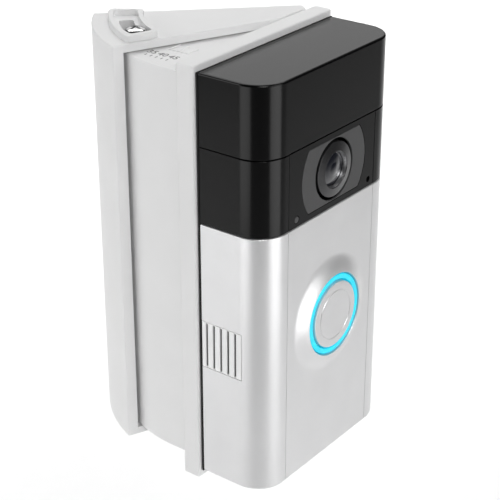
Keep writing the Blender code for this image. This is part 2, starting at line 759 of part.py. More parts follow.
def bell_button():
    """Button cap, light ring, membrane, switch and their board, on one axis."""
    at = (0, 0, BUTTON_Z)
    front = BODY_DEPTH + DOME_HEIGHT
    cap_thick, skirt, stem_radius, stem_back = 1.6, 4.4, 2.0, 19.2
    cap = [
        (0, front - 0.1),
        (BUTTON_RADIUS - 0.3, front - 0.1),
        (BUTTON_RADIUS, front - 0.4),
        (BUTTON_RADIUS, front - skirt),
        (BUTTON_RADIUS - 1.4, front - skirt),
        (BUTTON_RADIUS - 1.4, front - cap_thick),
        (stem_radius, front - cap_thick),
        (stem_radius, stem_back),
        (0, stem_back),
    ]
    turned("button_cap", cap, at, SILVER, sides=48)
    ring_front = front - 0.5
    ring = [
        (RING_INNER, ring_front),
        (RING_OUTER, ring_front),
        (RING_OUTER, 20.6),
        (14.4, 20.6),
        (14.4, 18.8),
        (RING_INNER, 18.8),
    ]
    turned("light_ring", ring, at, CYAN, ring=True, sides=48)
    membrane = [(2.6, 19.5), (RING_INNER - GAP, 19.5), (RING_INNER - GAP, 19.0), (2.6, 19.0)]
    turned("button_membrane", membrane, at, RUBBER, ring=True, sides=32)
    spacer = [(12.0, 18.5), (15.4, 18.5), (15.4, 15.5), (12.0, 15.5)]
    turned("ring_spacer", spacer, at, MATT_BLACK, ring=True, sides=32)
    cylinder("button_board", 15.4, 1.0, (0, -14.7, BUTTON_Z), BOARD, sides=32)
    switch = box("press_switch", (-3, -17.3, BUTTON_Z - 3), (3, -15.5, BUTTON_Z + 3), MATT_BLACK)
    plunger_radius, plunger_front, plunger_back = 1.5, -18.9, -17.5
    bore_deep = BUTTON_TRAVEL + GAP + 0.2
    bore = cylinder("plunger_bore", plunger_radius + GAP, 2 * bore_deep, (0, -17.3, BUTTON_Z), sides=20)
    cut(switch, bore)
    middle = (plunger_front + plunger_back) / 2
    cylinder(
        "switch_plunger",
        plunger_radius,
        plunger_back - plunger_front,
        (0, middle, BUTTON_Z),
        GOLD,
        sides=20,
    )
    setup_at = (20.0, -16.5, 20.0)
    cylinder("setup_button", 2.0, 3.8, setup_at, MATT_BLACK, sides=20)


wall_bracket()
swing_bracket()
hinge_and_clamp()
mounting_plate()
rear_housing()
power()
electronics()
camera()
camera_housing()
top_cap()
faceplate()
bell_button()
for moving in ("faceplate", "vent_grille_left", "vent_grille_right"):
    piece = bpy.data.objects[moving]
    piece.parent = FACE_AXIS
    piece.location = [at - axis for at, axis in zip(piece.location, FACE_AXIS.location)]
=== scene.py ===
"""Video doorbell on an adjustable corner bracket: the visible model, built round the CAD frame.

Each sub-assembly is a class. It models its pieces in millimetres in its own upright frame. As the
last step a piece's mesh is moved to its place in metres, so that its object stays at the origin.
"""

from __future__ import annotations

import json
import logging
import math
from dataclasses import dataclass, field
from enum import Enum
from typing import Any, ClassVar, Sequence

import bmesh
import bpy
from mathutils import Matrix, Vector

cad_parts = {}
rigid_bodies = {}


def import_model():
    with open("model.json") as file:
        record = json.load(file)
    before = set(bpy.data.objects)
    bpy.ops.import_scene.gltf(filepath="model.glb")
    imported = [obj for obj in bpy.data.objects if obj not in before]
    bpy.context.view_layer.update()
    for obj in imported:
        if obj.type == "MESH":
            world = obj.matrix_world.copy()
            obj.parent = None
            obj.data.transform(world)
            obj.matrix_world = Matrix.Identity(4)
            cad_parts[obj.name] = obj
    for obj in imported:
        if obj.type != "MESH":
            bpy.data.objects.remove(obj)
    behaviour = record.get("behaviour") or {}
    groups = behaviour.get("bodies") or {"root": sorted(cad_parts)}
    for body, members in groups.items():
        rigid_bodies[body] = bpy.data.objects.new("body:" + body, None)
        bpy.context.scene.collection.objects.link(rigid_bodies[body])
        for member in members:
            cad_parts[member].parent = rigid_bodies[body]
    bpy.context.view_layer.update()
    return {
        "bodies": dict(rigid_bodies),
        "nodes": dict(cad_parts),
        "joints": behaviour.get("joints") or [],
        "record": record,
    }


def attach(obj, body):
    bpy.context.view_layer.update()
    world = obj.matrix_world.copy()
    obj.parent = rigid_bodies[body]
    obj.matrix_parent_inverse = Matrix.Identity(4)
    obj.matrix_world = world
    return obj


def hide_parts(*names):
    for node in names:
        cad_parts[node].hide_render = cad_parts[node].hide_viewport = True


MM = 0.001
CUT = 5.0  # how far a cutting tool runs past the face that it opens
TOUCHING = 1e-4  # outline points nearer than this are one point
LOG = logging.getLogger("doorbell")

Point = tuple[float, float]
Colour = tuple[float, float, float]
# Turns a height into a distance out of the doorbell's face.
STAND = Matrix.Rotation(math.pi / 2, 4, "X")


class Slot(Enum):
    """Material slots of the record."""

    WHITE = "white_plastic"
    SILVER = "satin_silver"
    BLACK = "gloss_black"
    MATT = "matt_black"
    GREY = "lens_grey"
    GUIDE = "light_guide"
    STEEL = "bright_steel"
    GLASS = "lens_glass"
    BOARD = "circuit_board"
    RUBBER = "seal_rubber"
    CELL = "battery_case"
    GOLD = "contact_gold"


class Pattern(Enum):
    """What varies the colour of a finish."""

    MOTTLE = "mottle"
    TRACKS = "tracks"


class Operation(Enum):
    """How one solid acts on another."""

    CUT = "DIFFERENCE"
    JOIN = "UNION"


class Layout(Enum):
    """Where copies of a small solid are set."""

    ROW = "row"
    RING = "ring"
    GRID = "grid"


# ---------------------------------------------------------------- finishes


@dataclass(frozen=True)
class Finish:
    """Surface of a piece. Texture sizes are in millimetres, amounts are shares of the base."""

    name: str
    slot: Slot
    colour: Colour
    roughness: float
    metallic: float = 0.0
    specular: float = 0.5
    coat: float = 0.0
    coat_roughness: float = 0.08
    grain: float = 0.5
    depth: float = 0.004
    bump_strength: float = 0.5
    stretch: tuple[float, float, float] = (1.0, 1.0, 1.0)
    mottle: float = 0.03
    patch: float = 14.0
    rough_spread: float = 0.05
    glow: float = 0.0
    ior: float = 1.46
    transmission: float = 0.0
    pattern: Pattern = Pattern.MOTTLE
    second: Colour = (0.0, 0.0, 0.0)

    def material(self) -> bpy.types.Material:
        """Makes the node material, once for each finish.

        Returns:
            The material.
        """
        made = bpy.data.materials.get(self.name)
        if made:
            return made
        made = bpy.data.materials.new(self.name)
        made.use_nodes = True
        tree = made.node_tree
        shader = tree.nodes["Principled BSDF"]
        for socket, value in {
            "Metallic": self.metallic,
            "Specular IOR Level": self.specular,
            "Coat Weight": self.coat,
            "Coat Roughness": self.coat_roughness,
            "IOR": self.ior,
            "Transmission Weight": self.transmission,
        }.items():
            shader.inputs[socket].default_value = value
        place = tree.nodes.new("ShaderNodeTexCoord").outputs["Object"]
        mapping = tree.nodes.new("ShaderNodeMapping")
        mapping.inputs["Scale"].default_value = self.stretch
        tree.links.new(place, mapping.inputs["Vector"])
        fine = self._noise(tree, mapping.outputs["Vector"], self.grain, 3.0)
        broad = self._noise(tree, place, self.patch, 2.0)
        self._roughness(tree, fine, shader)
        self._bump(tree, fine, shader)
        if self.pattern is Pattern.TRACKS:
            colour = self._tracks(tree, place)
        else:
            colour = self._mottled(tree, broad)
        tree.links.new(colour, shader.inputs["Base Color"])
        if self.glow:
            tree.links.new(colour, shader.inputs["Emission Color"])
            shader.inputs["Emission Strength"].default_value = self.glow
        return made

    @staticmethod
    def _noise(tree: Any, place: Any, size: float, detail: float) -> Any:
        """Adds a noise texture.

        Args:
            tree: Node tree of the material.
            place: Socket of the coordinates.
            size: Size of a feature in millimetres.
            detail: Octaves of the noise.

        Returns:
            The noise's value socket.
        """
        noise = tree.nodes.new("ShaderNodeTexNoise")
        noise.inputs["Scale"].default_value = 1.0 / (size * MM)
        noise.inputs["Detail"].default_value = detail
        tree.links.new(place, noise.inputs["Vector"])
        return noise.outputs["Fac"]

    def _roughness(self, tree: Any, noise: Any, shader: Any) -> None:
        """Varies the roughness a little with the fine noise.

        Args:
            tree: Node tree of the material.
            noise: Socket of the fine noise.
            shader: The surface shader.
        """
        spread = tree.nodes.new("ShaderNodeMapRange")
        spread.inputs["From Min"].default_value = 0.25
        spread.inputs["From Max"].default_value = 0.75
        spread.inputs["To Min"].default_value = max(self.roughness - self.rough_spread, 0.0)
        spread.inputs["To Max"].default_value = self.roughness + self.rough_spread
        tree.links.new(noise, spread.inputs["Value"])
        tree.links.new(spread.outputs["Result"], shader.inputs["Roughness"])

    def _bump(self, tree: Any, noise: Any, shader: Any) -> None:
        """Raises the fine noise as the surface's grain.

        Args:
            tree: Node tree of the material.
            noise: Socket of the fine noise.
            shader: The surface shader.
        """
        bump = tree.nodes.new("ShaderNodeBump")
        bump.inputs["Strength"].default_value = self.bump_strength
        bump.inputs["Distance"].default_value = self.depth * MM
        tree.links.new(noise, bump.inputs["Height"])
        tree.links.new(bump.outputs["Normal"], shader.inputs["Normal"])

    def _ramp(self, tree: Any, value: Any, stops: Sequence[tuple[float, Colour]]) -> Any:
        """Adds a colour ramp.

        Args:
            tree: Node tree of the material.
            value: Socket that drives the ramp.
            stops: Positions and their colours.

        Returns:
            The ramp's colour socket.
        """
        ramp = tree.nodes.new("ShaderNodeValToRGB")
        for element, (position, colour) in zip(ramp.color_ramp.elements, stops):
            element.position = position
            element.color = (*colour, 1.0)
        tree.links.new(value, ramp.inputs["Fac"])
        return ramp.outputs["Color"]

    def _mottled(self, tree: Any, noise: Any) -> Any:
        """Gives the base colour with slight patches, as moulded and painted parts have.

        Args:
            tree: Node tree of the material.
            noise: Socket of the broad noise.

        Returns:
            The colour socket.
        """
        low = tuple(max(c * (1.0 - self.mottle), 0.0) for c in self.colour)
        high = tuple(min(c * (1.0 + self.mottle), 1.0) for c in self.colour)
        return self._ramp(tree, noise, ((0.3, low), (0.7, high)))

    def _tracks(self, tree: Any, place: Any) -> Any:
        """Gives solder mask with lighter copper tracks under it.

        Args:
            tree: Node tree of the material.
            place: Socket of the coordinates.

        Returns:
            The colour socket.
        """
        cells = tree.nodes.new("ShaderNodeTexVoronoi")
        cells.feature = "F1"
        cells.distance = "MANHATTAN"
        cells.inputs["Scale"].default_value = 1.0 / (self.patch * MM)
        tree.links.new(place, cells.inputs["Vector"])
        wave = tree.nodes.new("ShaderNodeMath")
        wave.operation = "PINGPONG"
        wave.inputs[1].default_value = 0.12
        tree.links.new(cells.outputs["Distance"], wave.inputs[0])
        return self._ramp(tree, wave.outputs["Value"], ((0.03, self.second), (0.05, self.colour)))


WHITE_SHELL = Finish(
    "moulded_white", Slot.WHITE, (0.80, 0.80, 0.80), 0.48, specular=0.35, grain=0.35, depth=0.006,
    mottle=0.012,
)
SILVER_PAINT = Finish(
    "satin_silver_paint", Slot.SILVER, (0.74, 0.74, 0.745), 0.36, metallic=0.6, grain=0.45,
    depth=0.007, mottle=0.02, rough_spread=0.08,
)
VENT_SILVER = Finish(
    "vent_silver", Slot.SILVER, (0.86, 0.86, 0.86), 0.40, metallic=0.25, grain=0.45, depth=0.005
)
CAP_BLACK = Finish(
    "satin_black_cap", Slot.BLACK, (0.0030, 0.0030, 0.0031), 0.2, specular=0.25, grain=0.4,
    depth=0.003, rough_spread=0.04,
)
HOUSING_BLACK = Finish(
    "gloss_black_housing", Slot.BLACK, (0.0030, 0.0030, 0.0031), 0.19, specular=0.25, grain=0.6,
    depth=0.001, rough_spread=0.03,
)
WINDOW_BLACK = Finish(
    "gloss_black_window", Slot.BLACK, (0.0025, 0.0025, 0.0026), 0.12, specular=0.25, grain=1.2,
    depth=0.0004, rough_spread=0.02,
)
MATT_BLACK = Finish(
    "moulded_matt_black", Slot.MATT, (0.012, 0.012, 0.012), 0.6, specular=0.3, grain=0.4,
    depth=0.008,
)
SURROUND_GREY = Finish(
    "surround_grey", Slot.GREY, (0.050, 0.050, 0.051), 0.42, grain=0.3, depth=0.002
)
BEZEL_GREY = Finish(
    "bezel_grey", Slot.GREY, (0.085, 0.085, 0.087), 0.2, metallic=0.85, grain=0.3, depth=0.002
)
GUIDE_CYAN = Finish(
    "cyan_light_guide", Slot.GUIDE, (0.02, 0.62, 0.80), 0.35, grain=1.0, depth=0.002, mottle=0.06,
    patch=3.0, glow=0.35,
)
PLATED_STEEL = Finish(
    "plated_steel", Slot.STEEL, (0.66, 0.66, 0.66), 0.22, metallic=1.0, grain=0.25, depth=0.002
)
LENS_GLASS = Finish(
    "coated_lens_glass", Slot.GLASS, (0.006, 0.007, 0.011), 0.04, coat=1.0, specular=0.9, grain=2.0,
    depth=0.0002, rough_spread=0.01,
)
SOLDER_MASK = Finish(
    "solder_mask", Slot.BOARD, (0.010, 0.075, 0.035), 0.35, grain=0.4, depth=0.006, patch=4.0,
    pattern=Pattern.TRACKS, second=(0.03, 0.16, 0.07),
)
SEAL_RUBBER = Finish(
    "seal_rubber", Slot.RUBBER, (0.02, 0.02, 0.02), 0.78, specular=0.25, grain=0.3, depth=0.01
)
BATTERY_CASE = Finish(
    "battery_case", Slot.CELL, (0.045, 0.047, 0.055), 0.45, grain=0.5, depth=0.008
)
CONTACT_GOLD = Finish(
    "contact_gold", Slot.GOLD, (0.83, 0.58, 0.22), 0.25, metallic=1.0, grain=0.4, depth=0.002,
    stretch=(1.0, 1.0, 0.1),
)
# Collar finish: a real steel ring, but its light colour is partly a painted highlight, standing in
# for the lit inner wall of the grey bezel.
COLLAR_STEEL_PAINTED_HIGHLIGHT = Finish(
    "collar_steel", Slot.GREY, (0.40, 0.40, 0.41), 0.3, metallic=0.9, grain=0.2, depth=0.002
)
SCALE_INK = Finish("scale_ink", Slot.MATT, (0.20, 0.20, 0.20), 0.6, grain=0.2, depth=0.002)
FELT_BLACK = Finish(
    "felt_black", Slot.MATT, (0.004, 0.004, 0.004), 0.95, specular=0.05, grain=0.2, depth=0.01
)
CHIP_BLACK = Finish("chip_black", Slot.MATT, (0.016, 0.016, 0.018), 0.5, grain=0.2, depth=0.004)

NODE_FINISHES: dict[str, Finish] = {
    "hinge_pin": PLATED_STEEL,
    "clamp_nut": PLATED_STEEL,
    "charging_socket": PLATED_STEEL,
    "motion_sensor_left": PLATED_STEEL,
    "motion_sensor_right": PLATED_STEEL,
    "battery_pack": BATTERY_CASE,
    "battery_contacts": CONTACT_GOLD,
    "main_board": SOLDER_MASK,
    "motion_board": SOLDER_MASK,
    "camera_board": SOLDER_MASK,
    "button_board": SOLDER_MASK,
    "antenna": CONTACT_GOLD,
    "microphone": CONTACT_GOLD,
    "flex_cable": CONTACT_GOLD,
    "night_lamp_left": LENS_GLASS,
    "night_lamp_right": LENS_GLASS,
    "image_sensor": LENS_GLASS,
    "rear_lens": LENS_GLASS,
    "button_membrane": SEAL_RUBBER,
    "switch_plunger": CONTACT_GOLD,
}


# ---------------------------------------------------------------- outlines


def arc(centre: Point, radius: float, start: float, end: float, steps: int = 20) -> list[Point]:
    """Gives points round a centre.

    Args:
        centre: Middle of the arc.
        radius: Its radius.
        start: First angle in degrees from +X.
        end: Last angle in degrees.
        steps: Number of segments.

    Returns:
        The points, both ends included.
    """
    angles = [math.radians(start + (end - start) * i / steps) for i in range(steps + 1)]
    return [(centre[0] + radius * math.cos(a), centre[1] + radius * math.sin(a)) for a in angles]


def rectangle(low: Point, high: Point) -> list[Point]:
    """Gives the corners of an upright rectangle, counter-clockwise."""
    return [low, (high[0], low[1]), high, (low[0], high[1])]


def soften(
    points: Sequence[Point], radius: float, steps: int = 4, closed: bool = True
) -> list[Point]:
    """Rounds the sharp corners of an outline or a profile.

    Args:
        points: Corners in order.
        radius: Largest radius of the rounding.
        steps: Segments in each rounded corner.
        closed: Whether the last point joins the first.

    Returns:
        The points of the rounded line.
    """
    straight = -0.97
    longest = 0.45
    made: list[Point] = []
    count = len(points)
    for index, point in enumerate(points):
        here = Vector(point)
        if not closed and index in (0, count - 1):
            made.append(tuple(here))
            continue
        before = Vector(points[index - 1]) - here
        after = Vector(points[(index + 1) % count]) - here
        one, two = before.normalized(), after.normalized()
        cosine = one.dot(two)
        if cosine < straight:
            made.append(tuple(here))
            continue
        half = math.acos(max(-1.0, min(1.0, cosine))) / 2
        reach = min(radius / math.tan(half), longest * before.length, longest * after.length)
        turn = math.pi - 2 * half
        middle = here + (one + two).normalized() * (reach / math.cos(half))
        first, last = here + one * reach - middle, here + two * reach - middle
        for step in range(steps + 1):
            share = turn * step / steps
            arm = (first * math.sin(turn - share) + last * math.sin(share)) / math.sin(turn)
            made.append(tuple(middle + arm))
    return made


def counter_clockwise(points: Sequence[Point]) -> list[Point]:
    """Drops repeated points of an outline and turns it counter-clockwise.

    Args:
        points: Closed outline.

    Returns:
        The cleaned outline.
    """
    kept = [p for i, p in enumerate(points) if math.dist(p, points[i - 1]) > TOUCHING]
    area = sum(a[0] * b[1] - b[0] * a[1] for a, b in zip(kept, kept[1:] + kept[:1]))
    return kept if area > 0 else kept[::-1]


def inset(points: Sequence[Point], distance: float) -> list[Point]:
    """Moves the edges of a counter-clockwise outline inwards, with mitred corners.

    Args:
        points: Closed outline.
        distance: How far inwards.

    Returns:
        As many points, moved.
    """
    made = []
    for index, point in enumerate(points):
        before = Vector(point) - Vector(points[index - 1])
        after = Vector(points[(index + 1) % len(points)]) - Vector(point)
        one = Vector((-before.y, before.x)).normalized()
        two = Vector((-after.y, after.x)).normalized()
        moved = Vector(point) + (one + two) * (distance / max(1.0 + one.dot(two), 0.3))
        made.append((moved.x, moved.y))
    return made


def rounded_corners(points: Sequence[Point], radius: float) -> list[Point]:
    """Rounds the few sharp corners of an outline whose arcs are finely divided.

    Args:
        points: Closed outline with short segments on its arcs.
        radius: Radius of the corners.

    Returns:
        The outline, with the points that lie within a corner's reach taken up by it.
    """
    straight = -0.9
    kept = [p for i, p in enumerate(points) if math.dist(p, points[i - 1]) > TOUCHING]
    count = len(kept)
    corners = []
    for index, point in enumerate(kept):
        before = (Vector(kept[index - 1]) - Vector(point)).normalized()
        after = (Vector(kept[(index + 1) % count]) - Vector(point)).normalized()
        if before.dot(after) > straight:
            corners.append(index)
    away = [
        min(math.dist(kept[i], kept[c]) for c in corners) if corners else math.inf
        for i in range(count)
    ]
    clear = [p for i, p in enumerate(kept) if i in corners or away[i] > radius * 1.3]
    return soften(clear, radius, 6)


def rounded_heights(
    low: float, high: float, low_round: float, high_round: float, steps: int = 4
) -> list[Point]:
    """Gives the inset and height of each ring of a prism with rounded rims.

    Args:
        low: Bottom of the prism.
        high: Top of the prism.
        low_round: Radius of the bottom rim.
        high_round: Radius of the top rim.
        steps: Segments in each rounded rim.

    Returns:
        Pairs of inset and height, from the bottom up.
    """
    rings: list[Point] = []
    for radius, edge, way in ((low_round, low, 1.0), (high_round, high, -1.0)):
        turns = [math.pi / 2 * i / steps for i in range(steps + 1)] if radius else [math.pi / 2]
        part = [
            (radius * (1 - math.sin(t)), edge + way * radius * (1 - math.cos(t))) for t in turns
        ]
        rings += part if way > 0 else part[::-1]
    return rings


# ---------------------------------------------------------------- solids


@dataclass(frozen=True)
class LocalFrame:
    """Upright frame of a sub-assembly, in millimetres: +Y is its back. Its origin is in metres."""

    origin: Vector
    back: Vector

    @property
    def matrix(self) -> Matrix:
        """Matrix from this frame's millimetres to the CAD frame's metres.

        Returns:
            The matrix.
        """
        up = Vector((0.0, 0.0, 1.0))
        turn = Matrix((self.back.cross(up), self.back, up)).transposed().to_4x4()
        return Matrix.Translation(self.origin) @ turn @ Matrix.Scale(MM, 4)

    def corners(self, node: str) -> tuple[Vector, Vector]:
        """Gives the lowest and highest corner of a CAD node in this frame.

        Args:
            node: Name of the CAD node.

        Returns:
            The two corners, in millimetres.
        """
        inverse = self.matrix.inverted()
        points = [inverse @ vertex.co for vertex in bpy.data.objects[node].data.vertices]
        return Vector([min(c) for c in zip(*points)]), Vector([max(c) for c in zip(*points)])

    def middle(self, node: str) -> Vector:
        """Gives the middle of a CAD node's box in this frame."""
        low, high = self.corners(node)
        return (low + high) / 2


class Solid:
    """Closed mesh under construction, in the millimetres of its sub-assembly's frame."""

    def __init__(self, name: str, mesh: bpy.types.Mesh) -> None:
        """Links the mesh into the scene as a new object."""
        self.object = bpy.data.objects.new(name, mesh)
        bpy.context.scene.collection.objects.link(self.object)

    @classmethod
    def from_bmesh(cls, name: str, bm: bmesh.types.BMesh) -> Solid:
        """Closes the seams of a bmesh, turns its faces outwards and wraps it.

        Args:
            name: Name of the solid.
            bm: Mesh to take over; it is freed.

        Returns:
            The solid.
        """
        bmesh.ops.remove_doubles(bm, verts=bm.verts, dist=1e-5)
        bmesh.ops.recalc_face_normals(bm, faces=bm.faces)
        mesh = bpy.data.meshes.new(name)
        bm.to_mesh(mesh)
        bm.free()
        return cls(name, mesh)

    @classmethod
    def loft(
        cls,
        name: str,
        rings: Sequence[Sequence[Sequence[float]]],
        wrap: bool = False,
        caps: bool = True,
    ) -> Solid:
        """Skins closed rings that have equally many points.

        Args:
            name: Name of the solid.
            rings: Rings of 3-D points.
            wrap: Whether the last ring joins the first.
            caps: Whether the two end rings are filled.

        Returns:
            The solid.
        """
        bm = bmesh.new()
        loops = [[bm.verts.new(point) for point in ring] for ring in rings]
        for one, two in zip(loops, loops[1:] + (loops[:1] if wrap else [])):
            for index in range(len(one)):
                bm.faces.new((one[index - 1], one[index], two[index], two[index - 1]))
        if caps and not wrap:
            bm.faces.new(loops[0][::-1])
            bm.faces.new(loops[-1])
        return cls.from_bmesh(name, bm)

    @classmethod
    def prism(
        cls,
        name: str,
        outline: Sequence[Point],
        low: float,
        high: float,
        low_round: float = 0.0,
        high_round: float = 0.0,
    ) -> Solid:
        """Raises an outline between two heights, with rounded rims.

        Args:
            name: Name of the solid.
            outline: Closed plan outline.
            low: Bottom height.
            high: Top height.
            low_round: Radius of the bottom rim.
            high_round: Radius of the top rim.

        Returns:
            The solid.
        """
        plan = counter_clockwise(outline)
        heights = rounded_heights(low, high, low_round, high_round)
        return cls.loft(
            name, [[(x, y, z) for x, y in inset(plan, inwards)] for inwards, z in heights]
        )

    @classmethod
    def block(
        cls, name: str, low: Sequence[float], high: Sequence[float], radius: float = 0.0
    ) -> Solid:
        """Makes a block between two corners, with all its edges rounded.

        Args:
            name: Name of the solid.
            low: Lowest corner.
            high: Highest corner.
            radius: Radius of its edges.

        Returns:
            The solid.
        """
        plan = rectangle((low[0], low[1]), (high[0], high[1]))
        outline = soften(plan, radius) if radius else plan
        return cls.prism(name, outline, low[2], high[2], radius * 0.8, radius * 0.8)

    @classmethod
    def turned(
        cls, name: str, profile: Sequence[Point], ring: bool = False, sides: int = 96
    ) -> Solid:
        """Turns a profile round the height axis.

        Args:
            name: Name of the solid.
            profile: Pairs of radius and height; from axis to axis unless it is a ring.
            ring: Whether the profile is a closed loop.
            sides: Number of facets round the axis.

        Returns:
            The solid.
        """
        turns = [2 * math.pi * i / sides for i in range(sides)]
        rings = [[(r * math.cos(t), r * math.sin(t), h) for t in turns] for r, h in profile]
        return cls.loft(name, rings, wrap=ring, caps=False)

    @classmethod
    def cylinder(cls, name: str, radius: float, low: float, high: float, sides: int) -> Solid:
        """Makes a cylinder round the height axis, between two heights."""
        return cls.turned(name, [(0, low), (radius, low), (radius, high), (0, high)], sides=sides)

    @classmethod
    def from_node(cls, name: str, node: str, frame: LocalFrame) -> Solid:
        """Copies a CAD node with its loose triangles merged, for edges to be rounded on the copy.

        Args:
            name: Name of the solid.
            node: Name of the CAD node.
            frame: Frame that the solid is worked in.

        Returns:
            The solid.
        """
        bm = bmesh.new()
        bm.from_mesh(bpy.data.objects[node].data)
        bmesh.ops.transform(bm, matrix=frame.matrix.inverted(), verts=bm.verts)
        bmesh.ops.remove_doubles(bm, verts=bm.verts, dist=1e-3)
        bmesh.ops.dissolve_limit(bm, angle_limit=math.radians(1.0), verts=bm.verts, edges=bm.edges)
        mesh = bpy.data.meshes.new(name)
        bm.to_mesh(mesh)
        bm.free()
        return cls(name, mesh)

    def moved(self, matrix: Matrix) -> Solid:
        """Moves the mesh itself, and gives back the solid."""
        self.object.data.transform(matrix)
        return self

    def out_of_face(self, x: float, z: float) -> Solid:
        """Stands a solid up so that its heights point out of the doorbell's face, at x and z."""
        return self.moved(Matrix.Translation((x, 0.0, z)) @ STAND)

    def at(self, x: float, y: float, z: float) -> Solid:
        """Shifts the solid."""
        return self.moved(Matrix.Translation((x, y, z)))

    def bake(self) -> Solid:
        """Turns the object's modifiers into its mesh.

        Returns:
            This solid.
        """
        graph = bpy.context.evaluated_depsgraph_get()
        mesh = bpy.data.meshes.new_from_object(self.object.evaluated_get(graph))
        old = self.object.data
        self.object.modifiers.clear()
        self.object.data = mesh
        bpy.data.meshes.remove(old)
        return self

    def combine(self, operation: Operation, tools: Sequence[Solid]) -> Solid:
        """Cuts or joins other solids, which are used up.

        Args:
            operation: What to do.
            tools: The other solids.

        Returns:
            This solid.
        """
        for tool in tools:
            step = self.object.modifiers.new(operation.name.lower(), "BOOLEAN")
            step.operation = operation.value
            step.solver = "EXACT"
            step.object = tool.object
        self.bake()
        for tool in tools:
            bpy.data.meshes.remove(tool.object.data)
        return self

    def cut(self, *tools: Solid) -> Solid:
        """Cuts other solids out of this one."""
        return self.combine(Operation.CUT, tools)

    def join(self, *tools: Solid) -> Solid:
        """Joins other solids to this one."""
        return self.combine(Operation.JOIN, tools)

    def bevel(self, width: float, segments: int = 2, angle: float = 40.0) -> Solid:
        """Rounds the edges that are sharper than an angle.

        Args:
            width: Width of the rounding.
            segments: Its segments.
            angle: Least angle of an edge in degrees.

        Returns:
            This solid.
        """
        bm = bmesh.new()
        bm.from_mesh(self.object.data)
        bmesh.ops.remove_doubles(bm, verts=bm.verts, dist=5e-4)
        bmesh.ops.dissolve_degenerate(bm, edges=bm.edges, dist=5e-4)
        bm.to_mesh(self.object.data)
        bm.free()
        step = self.object.modifiers.new("edges", "BEVEL")
        step.width = width
        step.segments = segments
        step.limit_method = "ANGLE"
        step.angle_limit = math.radians(angle)
        return self.bake()

    def dress(
        self,
        frame: LocalFrame,
        finish: Finish,
        body: str,
        replaces: Sequence[str] = (),
        angle: float = 32.0,
    ) -> bpy.types.Object:
        """Places the finished piece, gives it its finish and hands it to its body.

        Args:
            frame: Frame that the solid was worked in.
            finish: Its finish.
            body: CAD body that it moves with.
            replaces: CAD nodes that it stands for.
            angle: Edges sharper than this stay sharp, in degrees.

        Returns:
            The piece's object.
        """
        piece = self.object
        piece.data.transform(frame.matrix)
        piece.data.shade_smooth()
        piece.data.set_sharp_from_angle(angle=math.radians(angle))
        weighted = piece.modifiers.new("weighted_normals", "WEIGHTED_NORMAL")
        weighted.keep_sharp = True
        self.bake()
        piece.data.materials.clear()
        piece.data.materials.append(finish.material())
        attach(piece, body)
        if replaces:
            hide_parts(*replaces)
        LOG.info("%s on %s: %d faces", piece.name, body, len(piece.data.polygons))
        return piece


# ---------------------------------------------------------------- repeated details


